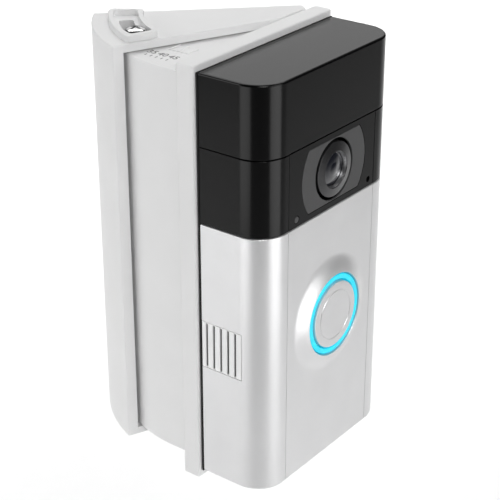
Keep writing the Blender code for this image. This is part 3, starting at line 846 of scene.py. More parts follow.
class Repeater:
    """Geometry Nodes tree that copies one small solid in a row, round a ring or over a grid."""

    trees: ClassVar[dict[Layout, Repeater]] = {}

    def __init__(self, layout: Layout) -> None:
        """Builds the tree for one layout.

        Args:
            layout: Which layout.
        """
        self.group = bpy.data.node_groups.new(f"{layout.value}_of_copies", "GeometryNodeTree")
        self.sockets: dict[str, str] = {}
        self.source = self.group.nodes.new("NodeGroupInput")
        part = self._input("Part", "NodeSocketObject")
        finish = self._input("Finish", "NodeSocketMaterial")
        points, turn, scale, chosen = getattr(self, f"_{layout.value}")()
        info = self.group.nodes.new("GeometryNodeObjectInfo")
        self._wire(part, info, "Object")
        copies = self.group.nodes.new("GeometryNodeInstanceOnPoints")
        self._wire(points, copies, "Points")
        self._wire(info.outputs["Geometry"], copies, "Instance")
        for socket, name in ((turn, "Rotation"), (scale, "Scale"), (chosen, "Selection")):
            if socket:
                self._wire(socket, copies, name)
        real = self.group.nodes.new("GeometryNodeRealizeInstances")
        self._wire(copies.outputs["Instances"], real, "Geometry")
        painted = self.group.nodes.new("GeometryNodeSetMaterial")
        self._wire(real.outputs["Geometry"], painted, "Geometry")
        self._wire(finish, painted, "Material")
        self.group.interface.new_socket(
            "Geometry", in_out="OUTPUT", socket_type="NodeSocketGeometry"
        )
        sink = self.group.nodes.new("NodeGroupOutput")
        self._wire(painted.outputs["Geometry"], sink, "Geometry")

    def _input(self, name: str, kind: str) -> Any:
        """Adds a named input to the tree.

        Args:
            name: Name of the input.
            kind: Type of its socket.

        Returns:
            The socket inside the tree.
        """
        made = self.group.interface.new_socket(name, in_out="INPUT", socket_type=kind)
        self.sockets[name] = made.identifier
        return self.source.outputs[name]

    def _wire(self, socket: Any, node: Any, name: str) -> None:
        """Links a socket to a node's input by its name."""
        self.group.links.new(socket, node.inputs[name])

    def _row(self) -> tuple[Any, Any, Any, Any]:
        """Sets points in a straight row: Count of them from Start, Step apart.

        Returns:
            The points, and the copies' rotation, scale and selection where the layout has them.
        """
        line = self.group.nodes.new("GeometryNodeMeshLine")
        self._wire(self._input("Count", "NodeSocketInt"), line, "Count")
        self._wire(self._input("Start", "NodeSocketVector"), line, "Start Location")
        self._wire(self._input("Step", "NodeSocketVector"), line, "Offset")
        return line.outputs["Mesh"], None, None, None

    def _ring(self) -> tuple[Any, Any, Any, Any]:
        """Sets points round Centre at Radius: Count of them from First, Spacing radians apart.

        Returns:
            The points, and the copies' rotation, scale and selection where the layout has them.
        """
        line = self.group.nodes.new("GeometryNodeMeshLine")
        self._wire(self._input("Count", "NodeSocketInt"), line, "Count")
        line.inputs["Offset"].default_value = (0.0, 0.0, 0.0)
        angle = self.group.nodes.new("ShaderNodeMath")
        angle.operation = "MULTIPLY_ADD"
        self.group.links.new(
            self.group.nodes.new("GeometryNodeInputIndex").outputs["Index"], angle.inputs[0]
        )
        self.group.links.new(self._input("Spacing", "NodeSocketFloat"), angle.inputs[1])
        self.group.links.new(self._input("First", "NodeSocketFloat"), angle.inputs[2])
        arm = self.group.nodes.new("ShaderNodeCombineXYZ")
        self._wire(self._input("Radius", "NodeSocketFloat"), arm, "X")
        swung = self.group.nodes.new("ShaderNodeVectorRotate")
        swung.rotation_type = "Z_AXIS"
        self._wire(arm.outputs["Vector"], swung, "Vector")
        self._wire(angle.outputs["Value"], swung, "Angle")
        placed = self.group.nodes.new("GeometryNodeSetPosition")
        self._wire(line.outputs["Mesh"], placed, "Geometry")
        self._wire(swung.outputs["Vector"], placed, "Position")
        self._wire(self._input("Centre", "NodeSocketVector"), placed, "Offset")
        euler = self.group.nodes.new("ShaderNodeCombineXYZ")
        self._wire(angle.outputs["Value"], euler, "Z")
        turn = self.group.nodes.new("FunctionNodeEulerToRotation")
        self._wire(euler.outputs["Vector"], turn, "Euler")
        return placed.outputs["Geometry"], turn.outputs["Rotation"], None, None

    def _grid(self) -> tuple[Any, Any, Any, Any]:
        """Sets points over a Width by Depth grid, some left out and each sized at random.

        Returns:
            The points, and the copies' rotation, scale and selection where the layout has them.
        """
        grid = self.group.nodes.new("GeometryNodeMeshGrid")
        for name, kind, socket in (
            ("Width", "NodeSocketFloat", "Size X"),
            ("Depth", "NodeSocketFloat", "Size Y"),
            ("Columns", "NodeSocketInt", "Vertices X"),
            ("Rows", "NodeSocketInt", "Vertices Y"),
        ):
            self._wire(self._input(name, kind), grid, socket)
        placed = self.group.nodes.new("GeometryNodeSetPosition")
        self._wire(grid.outputs["Mesh"], placed, "Geometry")
        self._wire(self._input("Centre", "NodeSocketVector"), placed, "Offset")
        seed = self._input("Seed", "NodeSocketInt")
        chosen = self.group.nodes.new("FunctionNodeRandomValue")
        chosen.data_type = "BOOLEAN"
        self._wire(self._input("Share", "NodeSocketFloat"), chosen, "Probability")
        self._wire(seed, chosen, "Seed")
        sized = self.group.nodes.new("FunctionNodeRandomValue")
        sized.data_type = "FLOAT_VECTOR"
        self.group.links.new(self._input("Smallest", "NodeSocketVector"), sized.inputs[0])
        self.group.links.new(self._input("Largest", "NodeSocketVector"), sized.inputs[1])
        self._wire(seed, sized, "Seed")
        outputs = [next(s for s in node.outputs if s.enabled) for node in (chosen, sized)]
        return placed.outputs["Geometry"], None, outputs[1], outputs[0]

    @classmethod
    def copies(cls, name: str, layout: Layout, part: Solid, finish: Finish, **sizes: Any) -> Solid:
        """Runs the tree of a layout and bakes its result.

        Args:
            name: Name of the result.
            layout: Which layout.
            part: Small solid to copy; it is used up.
            finish: Finish of the copies.
            **sizes: Values of the tree's named inputs.

        Returns:
            One solid that holds all the copies.
        """
        tree = cls.trees.get(layout) or cls.trees.setdefault(layout, cls(layout))
        made = Solid(name, bpy.data.meshes.new(name))
        step = made.object.modifiers.new(layout.value, "NODES")
        step.node_group = tree.group
        for socket, value in {"Part": part.object, "Finish": finish.material(), **sizes}.items():
            step[tree.sockets[socket]] = value
        made.bake()
        bpy.data.meshes.remove(part.object.data)
        return made


# ---------------------------------------------------------------- corner bracket


@dataclass
class WallBracket:
    """Fixed outer half of the corner bracket, in a frame on the hinge axis at its mid-height."""

    frame: LocalFrame
    half_height: float = 62.0
    floor: float = 2.3
    wall_plate: float = 2.0
    outer: float = 51.0
    inner: float = 47.8
    front_angle: float = 21.5
    knuckle: float = 3.0
    pin: float = 1.5
    doorbell_angle: float = 45.0
    end_length: float = 12.9
    end_x: float = 10.4
    rim: float = 0.45
    corner: float = 0.75
    boss: tuple[float, float, float, float] = (36.2, 46.2, -9.3, 24.3)
    boss_top: float = 64.0
    pocket: tuple[float, float, float, float] = (37.7, 44.7, -7.6, 22.6)
    pocket_floor: float = 62.3
    slot: tuple[float, float, float, float] = (39.1, 43.3, -1.0, 19.8)
    wall_screws: tuple[Point, ...] = ((-5.0, -47.0), (-5.0, 47.0))

    @staticmethod
    def plan(radius: float, angle: float) -> Point:
        """Gives a plan point by its distance from the hinge and its angle from the wall."""
        return (-radius * math.cos(math.radians(angle)), -radius * math.sin(math.radians(angle)))

    def plan_arc(self, radius: float, start: float, end: float, steps: int = 40) -> list[Point]:
        """Gives an arc of plan points round the hinge."""
        return [self.plan(radius, start + (end - start) * i / steps) for i in range(steps + 1)]

    def sector(self, sizes: tuple[float, float, float, float], radius: float) -> list[Point]:
        """Gives a piece of a ring round the hinge with rounded corners.

        Args:
            sizes: Inner radius, outer radius, first angle and last angle.
            radius: Radius of its corners.

        Returns:
            Its outline.
        """
        inner, outer, start, end = sizes
        corners = self.plan_arc(outer, start, end, 24) + self.plan_arc(inner, end, start, 24)
        return rounded_corners(corners, radius)

    def outline(self, wall: float) -> list[Point]:
        """Gives the plan of the outer half.

        Args:
            wall: Distance of the wall behind the hinge.

        Returns:
            Its outline.
        """
        wall_end = -math.degrees(math.asin(wall / self.outer))
        front_end = self.front_angle + math.degrees(math.asin(self.knuckle / self.outer))
        along = math.radians(self.doorbell_angle)
        end = (
            self.knuckle * math.sin(along) + self.end_length * math.cos(along),
            -self.knuckle * math.cos(along) + self.end_length * math.sin(along),
        )
        points = self.plan_arc(self.outer, wall_end, front_end, 60)
        points += arc((0, 0), self.knuckle, self.front_angle - 90, self.doorbell_angle - 90, 8)
        return rounded_corners([*points, end, (self.end_x, wall)], self.corner)

    def build(self) -> None:
        """Builds the shell with its boss, slot, wire window and wall-screw holes."""
        wall = self.frame.corners("wall_bracket")[1].y
        room = self.half_height - self.floor
        shell = Solid.prism(
            "wall_shell",
            self.outline(wall),
            -self.half_height,
            self.half_height,
            self.rim,
            self.rim,
        )
        face = wall - self.wall_plate
        back = -math.degrees(math.asin(face / self.inner))
        hollow = self.plan_arc(self.inner, back, 40.0, 60) + [(-30, -60), (60, -60), (60, face)]
        shell.cut(Solid.prism("hollow", hollow, -room, room))
        shell.join(
            Solid.prism(
                "boss", self.sector(self.boss, 2.2), self.half_height - 1.0, self.boss_top, 0.0, 0.4
            )
        )
        shell.cut(
            Solid.prism(
                "pocket", self.sector(self.pocket, 1.6), self.pocket_floor, self.boss_top + CUT
            ),
            Solid.prism("arc_slot", self.sector(self.slot, 1.9), room - CUT, self.boss_top),
            Solid.cylinder("pin_hole", self.pin, -self.half_height - CUT, room + 1.0, 32),
            Solid.block("wire_window", (-13, 0, -38), (3, 15, -8), 1.5),
        )
        for x, z in self.wall_screws:
            seat = [(0, -0.5), (4.2, -0.5), (4.2, 0.0), (2.2, 1.6), (2.2, 6.0), (0, 6.0)]
            hole = Solid.turned("screw_seat", seat, sides=40).moved(
                Matrix.Rotation(-math.pi / 2, 4, "X")
            )
            shell.cut(hole.at(x, face, z))
        self._wall_pockets(shell, wall)
        shell.bevel(0.22)
        shell.dress(self.frame, WHITE_SHELL, "wall_mount", ["wall_bracket"])

    def _wall_pockets(self, shell: Solid, wall: float) -> None:
        """Hollows the face against the wall between thin ribs, to keep the walls even.

        Args:
            shell: The bracket's shell.
            wall: Distance of the wall behind the hinge.
        """
        for name, count, first in (("upper", 6, 0.0), ("lower", 3, -57.0)):
            tool = Solid.block(
                "pocket_cell", (-10.5, wall - 0.9, -2.6), (10.5, wall + CUT, 2.6), 0.8
            )
            row = Repeater.copies(
                f"{name}_wall_pockets", Layout.ROW, tool, WHITE_SHELL,
                Count=count, Start=(-25.0, 0.0, first), Step=(0.0, 0.0, 6.4),
            )
            shell.cut(row)


@dataclass
class SwingBracket:
    """Inner half of the bracket, which carries the doorbell, in the doorbell's frame."""

    frame: LocalFrame
    hinge: Point
    outer: float = 46.6
    skin: float = 1.8
    rear_angle: float = 36.0
    knuckle: float = 3.0
    pin: float = 1.5
    plate_back: float = 6.2
    tray: tuple[float, float, float, float] = (26.0, 4.0, 7.4, 118.6)
    box_low: float = 4.7
    box_high: float = 123.3
    window: tuple[float, float, float] = (10.0, 46.0, 80.0)
    screws: tuple[Point, ...] = ((-18.0, 20.0), (5.0, 20.0), (-18.0, 106.0), (5.0, 106.0))
    numerals: tuple[tuple[str, Point], ...] = (
        ("35", (-23.6, 21.0)), ("40", (-23.7, 17.2)), ("45", (-23.8, 13.4))
    )

    def plan(self, radius: float, angle: float) -> Point:
        """Gives a plan point by its distance from the hinge and its angle from the plate."""
        turn = math.radians(angle)
        return (self.hinge[0] - radius * math.cos(turn), self.hinge[1] + radius * math.sin(turn))

    def box_outline(self, radius: float, lap: float, rear: float, steps: int = 50) -> list[Point]:
        """Gives the quarter-round side of the box, from the plate to its rear edge."""
        start = math.degrees(math.asin((lap - self.hinge[1]) / radius))
        return [self.plan(radius, start + (rear - start) * i / steps) for i in range(steps + 1)]

    def build(self) -> None:
        """Builds the moulding, and its printed and raised marks."""
        low, high = self.frame.corners("swing_bracket")
        x, y = self.hinge
        half = high.x
        frame = Solid.prism(
            "swing_frame",
            soften(rectangle((-half, low.y), (half, self.plate_back)), 0.8, 6),
            low.z, high.z, 0.55, 0.55,
        )
        tray_half, tray_floor, tray_low, tray_high = self.tray
        frame.cut(
            Solid.block(
                "tray", (-tray_half, -CUT, tray_low), (tray_half, tray_floor, tray_high), 0.8
            )
        )
        lap = self.plate_back - 0.5
        outline = self.box_outline(self.outer, lap, self.rear_angle)
        outline += arc(self.hinge, self.knuckle, 90 - self.rear_angle, 0, 8)
        outline.append((x + self.knuckle, lap))
        frame.join(
            Solid.prism(
                "swing_box", rounded_corners(outline, 0.5), self.box_low, self.box_high, 0.3, 0.3
            )
        )
        hollow = self.box_outline(self.outer - self.skin, self.plate_back, self.rear_angle + 20)
        hollow += [(x - 5.0, 60), (x - 5.0, self.plate_back)]
        frame.cut(Solid.prism("swing_hollow", hollow, self.box_low + 2.0, self.box_high - 2.0))
        side, bottom, top = self.window
        clamp = self.frame.middle("clamp_screw")
        frame.cut(
            Solid.block(
                "plate_window", (-side, -CUT, bottom), (side, self.plate_back + CUT, top), 1.5
            ),
            Solid.cylinder("pin_hole", self.pin, -20, 150, 32).at(x, y, 0),
            Solid.cylinder("clamp_hole", 2.0, -CUT, CUT, 32).at(clamp.x, clamp.y, self.box_high),
        )
        for at_x, at_z in self.screws:
            bore = Solid.cylinder("screw_hole", 1.8, 0, 15, 24)
            frame.cut(bore.moved(Matrix.Translation((at_x, 10, at_z)) @ STAND))
        frame.bevel(0.2)
        frame.dress(self.frame, WHITE_SHELL, "doorbell", ["swing_bracket"])
        self._marks()

    def _marks(self) -> None:
        """Adds the angle scale: printed numerals and ticks, and raised guide lines beside them."""
        top = self.box_high
        for index, (text, (x, y)) in enumerate(self.numerals):
            curve = bpy.data.curves.new(f"angle_numeral_{index + 1}", "FONT")
            curve.body = text
            curve.size = 3.2
            curve.extrude = 0.03
            curve.align_x = curve.align_y = "CENTER"
            guide = bpy.data.objects.new(curve.name, curve)
            bpy.context.scene.collection.objects.link(guide)
            graph = bpy.context.evaluated_depsgraph_get()
            mesh = bpy.data.meshes.new_from_object(guide.evaluated_get(graph))
            bpy.data.curves.remove(curve)
            turn = Matrix.Translation((x, y, top + 0.03)) @ Matrix.Rotation(-math.pi / 2, 4, "Z")
            bm = bmesh.new()
            bm.from_mesh(mesh)
            bpy.data.meshes.remove(mesh)
            Solid.from_bmesh(f"angle_numeral_{index + 1}", bm).moved(turn).dress(
                self.frame, SCALE_INK, "doorbell"
            )
        first, last = self.numerals[0][1], self.numerals[-1][1]
        tick = Solid.block("tick", (-0.55, -0.13, -0.02), (0.55, 0.13, 0.05), 0.03)
        ticks = Repeater.copies(
            "angle_ticks", Layout.ROW, tick, SCALE_INK,
            Count=5,
            Start=(first[0] - 2.6, first[1] + 0.2, top),
            Step=(-0.05, (last[1] - first[1]) / 4, 0.0),
        )
        ticks.dress(self.frame, SCALE_INK, "doorbell")
        rail = Solid.block("guide_marks", (-19.4, 12.0, top - 0.1), (-18.7, 19.5, top + 0.22), 0.1)
        bar = Solid.block("guide_bar", (0.0, -0.2, -0.1), (4.2, 0.2, 0.22), 0.1)
        bars = Repeater.copies(
            "guide_bars", Layout.ROW, bar, WHITE_SHELL,
            Count=3, Start=(-19.0, 12.3, top), Step=(0.3, 3.3, 0.0),
        )
        rail.join(bars)
        rail.dress(self.frame, WHITE_SHELL, "doorbell")


@dataclass
class ClampScrew:
    """Pan-head screw that clamps the bracket's angle."""

    frame: LocalFrame
    head: float = 1.7
    head_radius: float = 3.1
    crown: float = 1.15
    shaft: float = 1.7
    pitch: float = 0.7
    arm: float = 1.9
    arm_width: float = 0.42

    def build(self) -> None:
        """Builds the screw with a domed head, a cross recess and a threaded shaft."""
        low, high = self.frame.corners("clamp_screw")
        middle = self.frame.middle("clamp_screw")
        under = high.z - self.head
        length = under - low.z
        edge = self.head_radius
        dome = [
            (edge * math.sin(turn), self.head - self.crown + self.crown * math.cos(turn))
            for turn in map(math.radians, range(0, 91, 9))
        ]
        rim = [(edge, 0.25), (edge - 0.25, 0.0), (self.shaft, 0.0)]
        thread = []
        for index in range(int(length / self.pitch) - 1):
            thread.append((self.shaft, -self.pitch * (index + 0.5)))
            thread.append((self.shaft - 0.3, -self.pitch * (index + 1.0)))
        profile = [*dome, *rim, *thread, (0.9, -length), (0, -length)]
        screw = Solid.turned("clamp_screw_head", profile, sides=64)
        for long, wide in ((self.arm, self.arm_width), (self.arm_width, self.arm)):
            rings = [
                [
                    (sx * long * s, sy * wide * s, z)
                    for sx, sy in ((-1, -1), (1, -1), (1, 1), (-1, 1))
                ]
                for s, z in ((0.8, self.head - 1.45), (1.0, self.head + 0.3))
            ]
            screw.cut(Solid.loft("recess", rings))
        screw.at(middle.x, middle.y, under)
        screw.dress(self.frame, PLATED_STEEL, "clamp_screw", ["clamp_screw"])


# ---------------------------------------------------------------- doorbell body


@dataclass
class BodyShells:
    """Outer shells of the doorbell: silver cover, black camera section and black cap."""

    frame: LocalFrame
    corner: float = 9.0
    wall: float = 1.8
    back: float = field(init=False)
    half: float = field(init=False)
    front: float = field(init=False)
    height: float = field(init=False)
    seam: float = 20.8
    seam_width: float = 0.2
    seam_depth: float = 0.25

    def __post_init__(self) -> None:
        """Takes the outer sizes from the CAD nodes."""
        low, high = self.frame.corners("top_cap")
        self.half, self.front, self.height = high.x, low.y, high.z
        self.back = high.y

    def outline(
        self, inwards: float = 0.0, front_in: float | None = None, back: float | None = None
    ) -> list[Point]:
        """Gives the doorbell's plan: straight sides, rounded front corners and a flat front.

        Args:
            inwards: Distance inside the outer surface.
            front_in: The same for the front, where it differs.
            back: Where the sides end.

        Returns:
            Its outline.
        """
        front_in = inwards if front_in is None else front_in
        half, front = self.half - inwards, self.front + front_in
        radius = self.corner - (inwards + front_in) / 2
        end = self.back if back is None else back
        left = arc((-half + radius, front + radius), radius, 180, 270, 28)
        right = arc((half - radius, front + radius), radius, 270, 360, 28)
        return [(-half, end), *left, *right, (half, end)]

    def shell(
        self,
        name: str,
        low: float,
        high: float,
        rims: Point,
        front_wall: float,
        floor: float = 0.0,
        roof: float = 0.0,
    ) -> Solid:
        """Builds a U-shaped shell that is open at the back.

        Args:
            name: Name of the shell.
            low: Its bottom.
            high: Its top.
            rims: Radius of its bottom and top rims.
            front_wall: Thickness of its front.
            floor: Thickness of its floor, or 0 for none.
            roof: Thickness of its roof, or 0 for none.

        Returns:
            The shell.
        """
        heights = rounded_heights(low, high, *rims, steps=5)
        made = Solid.loft(name, [[(x, y, z) for x, y in self.outline(i)] for i, z in heights])
        inside = self.outline(self.wall, front_wall, CUT)
        bottom = low + floor if floor else low - CUT
        top = high - roof if roof else high + CUT
        return made.cut(Solid.prism("inside", inside, bottom, top))

    def seams(self, low: float, high: float) -> list[Solid]:
        """Gives the tools for the two upright hairline seams on the front.

        Args:
            low: Bottom of the seams.
            high: Top of the seams.

        Returns:
            The two tools.
        """
        half, deep = self.seam_width / 2, self.seam_depth
        return [
            Solid.block(
                "seam", (x - half, self.front - CUT, low), (x + half, self.front + deep, high)
            )
            for x in (-self.seam, self.seam)
        ]

    def cap(self) -> None:
        """Builds the black cap over the motion sensors."""
        low, high = self.frame.corners("top_cap")
        cap = self.shell("top_cap_shell", low.z, high.z, (0.15, 0.7), self.wall, roof=self.wall)
        cap.dress(self.frame, CAP_BLACK, "doorbell", ["top_cap"])

    def cover(self, button: Vector) -> None:
        """Builds the silver cover with the raised ring round the button.

        Args:
            button: Middle of the bell button.
        """
        low, high = self.frame.corners("faceplate")
        cover = self.shell("silver_cover", low.z, high.z, (1.0, 0.3), self.wall, floor=self.wall)
        cover.cut(*self.seams(low.z - CUT, high.z + CUT))
        for node in ("vent_grille_left", "vent_grille_right"):
            vent_low, vent_high = self.frame.corners(node)
            edge = 0.15
            near = -self.half - 1.0 if vent_low.x < 0 else self.half - self.wall - 1.0
            cover.cut(Solid.block(
                "vent_opening",
                (near, vent_low.y - edge, vent_low.z - edge),
                (near + self.wall + 2.0, CUT, vent_high.z + edge),
            ))
        screw = self.frame.middle("security_screw")
        sink = [(0, -1), (2.6, -1), (2.6, 1.3), (1.5, 1.3), (1.5, CUT), (0, CUT)]
        cover.cut(Solid.turned("screw_sink", sink, sides=40).at(screw.x, screw.y, 0))
        rise, outer, hole, steps = self.front - low.y, 18.2, 12.55, 40
        inner = hole - 1.0
        slope = [
            (inner + (outer - inner) * i / steps, rise * (1 + math.cos(math.pi * i / steps)) / 2)
            for i in range(steps + 1)
        ]
        dome = Solid.turned("dome", [(0, rise), *slope, (outer, -0.6), (0, -0.6)], sides=128)
        cover.join(dome.out_of_face(button.x, button.z).at(0, self.front, 0))
        edge = [(hole, rise - 0.25), (hole + 0.2, rise + 0.02), (hole + 0.4, 10)]
        bore = Solid.turned("ring_hole", [(0, -10), (hole, -10), *edge, (0, 10)], sides=128)
        cover.cut(bore.out_of_face(button.x, button.z).at(0, self.front, 0))
        cover.dress(self.frame, SILVER_PAINT, "faceplate", ["faceplate"], angle=28.0)

    def vents(self) -> None:
        """Builds the grille in each side of the cover: a frame, with bars between its slots."""
        for side, node in (("left", "vent_grille_left"), ("right", "vent_grille_right")):
            low, high = self.frame.corners(node)
            rail, slot, pitch, first = 0.3, 0.7, 2.5, -2.5
            grille = Solid.block(f"vent_louvre_{side}", low, high, 0.08)
            tool = Solid.block(
                "slot",
                (low.x - CUT, -slot / 2, low.z + rail),
                (high.x + CUT, slot / 2, high.z - rail),
                0.12,
            )
            grille.cut(Repeater.copies(
                "slots", Layout.ROW, tool, VENT_SILVER,
                Count=5, Start=(0.0, first, 0.0), Step=(0.0, -pitch, 0.0),
            ))
            grille.bevel(0.1, 2, 50)
            grille.dress(self.frame, VENT_SILVER, "faceplate", [node])
            if low.x < 0:
                inner, outer = low.x + 0.55, low.x + 0.95
            else:
                inner, outer = high.x - 0.95, high.x - 0.55
            felt = Solid.block(
                f"vent_felt_{side}",
                (inner, low.y + 0.6, low.z + 0.15),
                (outer, high.y - 0.6, high.z - 0.15),
            )
            felt.dress(self.frame, FELT_BLACK, "faceplate")

    def camera_section(self, lens: Vector, dots: Sequence[Vector], sound: Point) -> None:
        """Builds the black camera section and its flush front window.

        Args:
            lens: Middle of the lens.
            dots: Middle of each light pipe that shows through.
            sound: Place of the sound hole on the face.
        """
        low, high = self.frame.corners("camera_housing")
        window_low, window_high = self.frame.corners("camera_window")
        housing = self.shell("camera_section_shell", low.z, high.z, (0.15, 0.15), 2.6)
        gap = self.seam_width
        housing.cut(Solid.block(
            "recess",
            (window_low.x - gap, self.front - CUT, low.z - CUT),
            (window_high.x + gap, window_high.y + 0.3, high.z + CUT),
        ))
        window = Solid.block("camera_window_panel", window_low, window_high, 0.1)
        floor = 22.45
        seat = Solid.prism("surround_seat", self.stadium(15.4, 9.45), floor, floor + CUT)
        window.cut(seat.out_of_face(lens.x, lens.z))
        for piece in (housing, window):
            piece.cut(Solid.cylinder("lens_bore", 9.2, 10, 30, 96).out_of_face(lens.x, lens.z))
            for place, radius in (*(((d.x, d.z), 1.15) for d in dots), (sound, 0.9)):
                hole = Solid.cylinder("dot_hole", radius, 5, 40, 32)
                piece.cut(hole.out_of_face(*place))
        housing.dress(self.frame, HOUSING_BLACK, "doorbell", ["camera_housing"])
        window.dress(self.frame, WINDOW_BLACK, "doorbell", ["camera_window"])

    @staticmethod
    def stadium(radius: float, half: float) -> list[Point]:
        """Gives a round plate with its top and bottom cut flat.

        Args:
            radius: Radius of the plate.
            half: Half its height between the flats.

        Returns:
            Its outline.
        """
        edge = math.degrees(math.asin(half / radius))
        right = arc((0, 0), radius, -edge, edge, 40)
        left = arc((0, 0), radius, 180 - edge, 180 + edge, 40)
        return rounded_corners(right + left, 0.5)


@dataclass
class Camera:
    """What shows of the camera: surround, bezel, stepped cone and front glass, on one axis."""

    frame: LocalFrame
    front: float
    centre: Vector

    def build(self) -> None:
        """Builds the camera's pieces."""
        face = -self.front
        surround = Solid.prism(
            "lens_surround_plate",
            BodyShells.stadium(15.25, 9.3),
            face - 0.5,
            face - 0.02,
            0.0,
            0.12,
        )
        surround.cut(
            Solid.turned(
                "opening", [(0, 20), (8.95, 20), (8.95, 22.7), (9.15, 23.2), (0, 23.2)], sides=96
            )
        )
        self._place(surround, SURROUND_GREY, ["lens_surround_left", "lens_surround_right"])
        bezel = [
            (8.1, 20.5), (8.1, 22.95), (8.02, 23.08), (7.85, 23.13), (5.55, 23.63),
            (5.42, 23.62), (5.34, 23.54), (5.34, 22.35), (7.4, 22.35), (7.4, 20.5),
        ]
        self._place(
            Solid.turned("lens_bezel", bezel, ring=True, sides=128), BEZEL_GREY, ["lens_trim"]
        )
        # The collar is the bezel's inner wall in a lighter steel, partly a painted highlight for
        # the light that falls on that wall.
        collar = [(5.34, 23.45), (5.3, 23.5), (5.0, 22.75), (4.95, 22.4), (5.34, 22.4)]
        self._place(Solid.turned("lens_collar", collar, ring=True, sides=128), COLLAR_STEEL_PAINTED_HIGHLIGHT)
        cone = [(6.9, 22.0), (6.9, 13.4), (3.3, 13.4), (3.3, 19.6), (5.1, 20.5), (5.1, 22.0)]
        self._place(
            Solid.turned("lens_cone", cone, ring=True, sides=96), MATT_BLACK, ["lens_barrel"]
        )
        steps, rim, base, rise, core, bump = 28, 4.93, 22.3, 0.85, 1.9, 0.18
        curve = (rim * rim + rise * rise) / (2 * rise)
        dome = []
        for index in range(steps + 1):
            r = rim * index / steps
            height = base + rise - curve + math.sqrt(curve * curve - r * r)
            dome.append((r, height + bump * max(0.0, 1 - (r / core) ** 2)))
        glass = Solid.turned("front_lens_glass", [*dome, (4.6, 21.7), (0, 21.7)], sides=96)
        self._place(glass, LENS_GLASS, ["front_lens"])

    def _place(self, solid: Solid, finish: Finish, nodes: Sequence[str] = ()) -> None:
        """Stands a solid on the lens axis and dresses it."""
        solid.out_of_face(self.centre.x, self.centre.z).dress(self.frame, finish, "doorbell", nodes)


@dataclass
class BellButton:
    """Bell button, and the light ring round it."""

    frame: LocalFrame
    centre: Vector
    radius: float = 10.1
    groove: float = 7.5

    def build(self) -> None:
        """Builds the button cap with its fine circular groove, and the ring."""
        low, high = self.frame.corners("button_cap")
        top, stem = -low.y, -high.y
        g = self.groove
        crown = [
            (0, top),
            (g - 0.16, top),
            (g - 0.06, top - 0.14),
            (g + 0.06, top - 0.14),
            (g + 0.16, top),
        ]
        rim = [(self.radius - 0.35, top), (self.radius - 0.1, top - 0.1), (self.radius, top - 0.35)]
        skirt, roof, bore = top - 4.3, top - 1.5, self.radius - 1.4
        inside = [
            (self.radius, skirt), (bore, skirt), (bore, roof), (2.0, roof), (2.0, stem), (0, stem)
        ]
        cap = Solid.turned("bell_button_cap", [*crown, *rim, *inside], sides=128)
        cap.out_of_face(self.centre.x, self.centre.z)
        cap.dress(self.frame, SILVER_PAINT, "bell_button", ["button_cap"])
        ring_low, ring_high = self.frame.corners("light_ring")
        front, back = -ring_low.y, -ring_high.y
        inner, outer, flange = 10.55, 12.12, (ring_high.x - ring_low.x) / 2
        corners = [
            (inner, front),
            (outer, front),
            (outer, 20.6),
            (flange, 20.6),
            (flange, back),
            (inner, back),
        ]
        profile = soften(corners, 0.3, 5)
        ring = Solid.turned("light_ring_guide", profile, ring=True, sides=128)
        ring.out_of_face(self.centre.x, self.centre.z)
        ring.dress(self.frame, GUIDE_CYAN, "doorbell", ["light_ring"])


# ---------------------------------------------------------------- what lies inside and behind


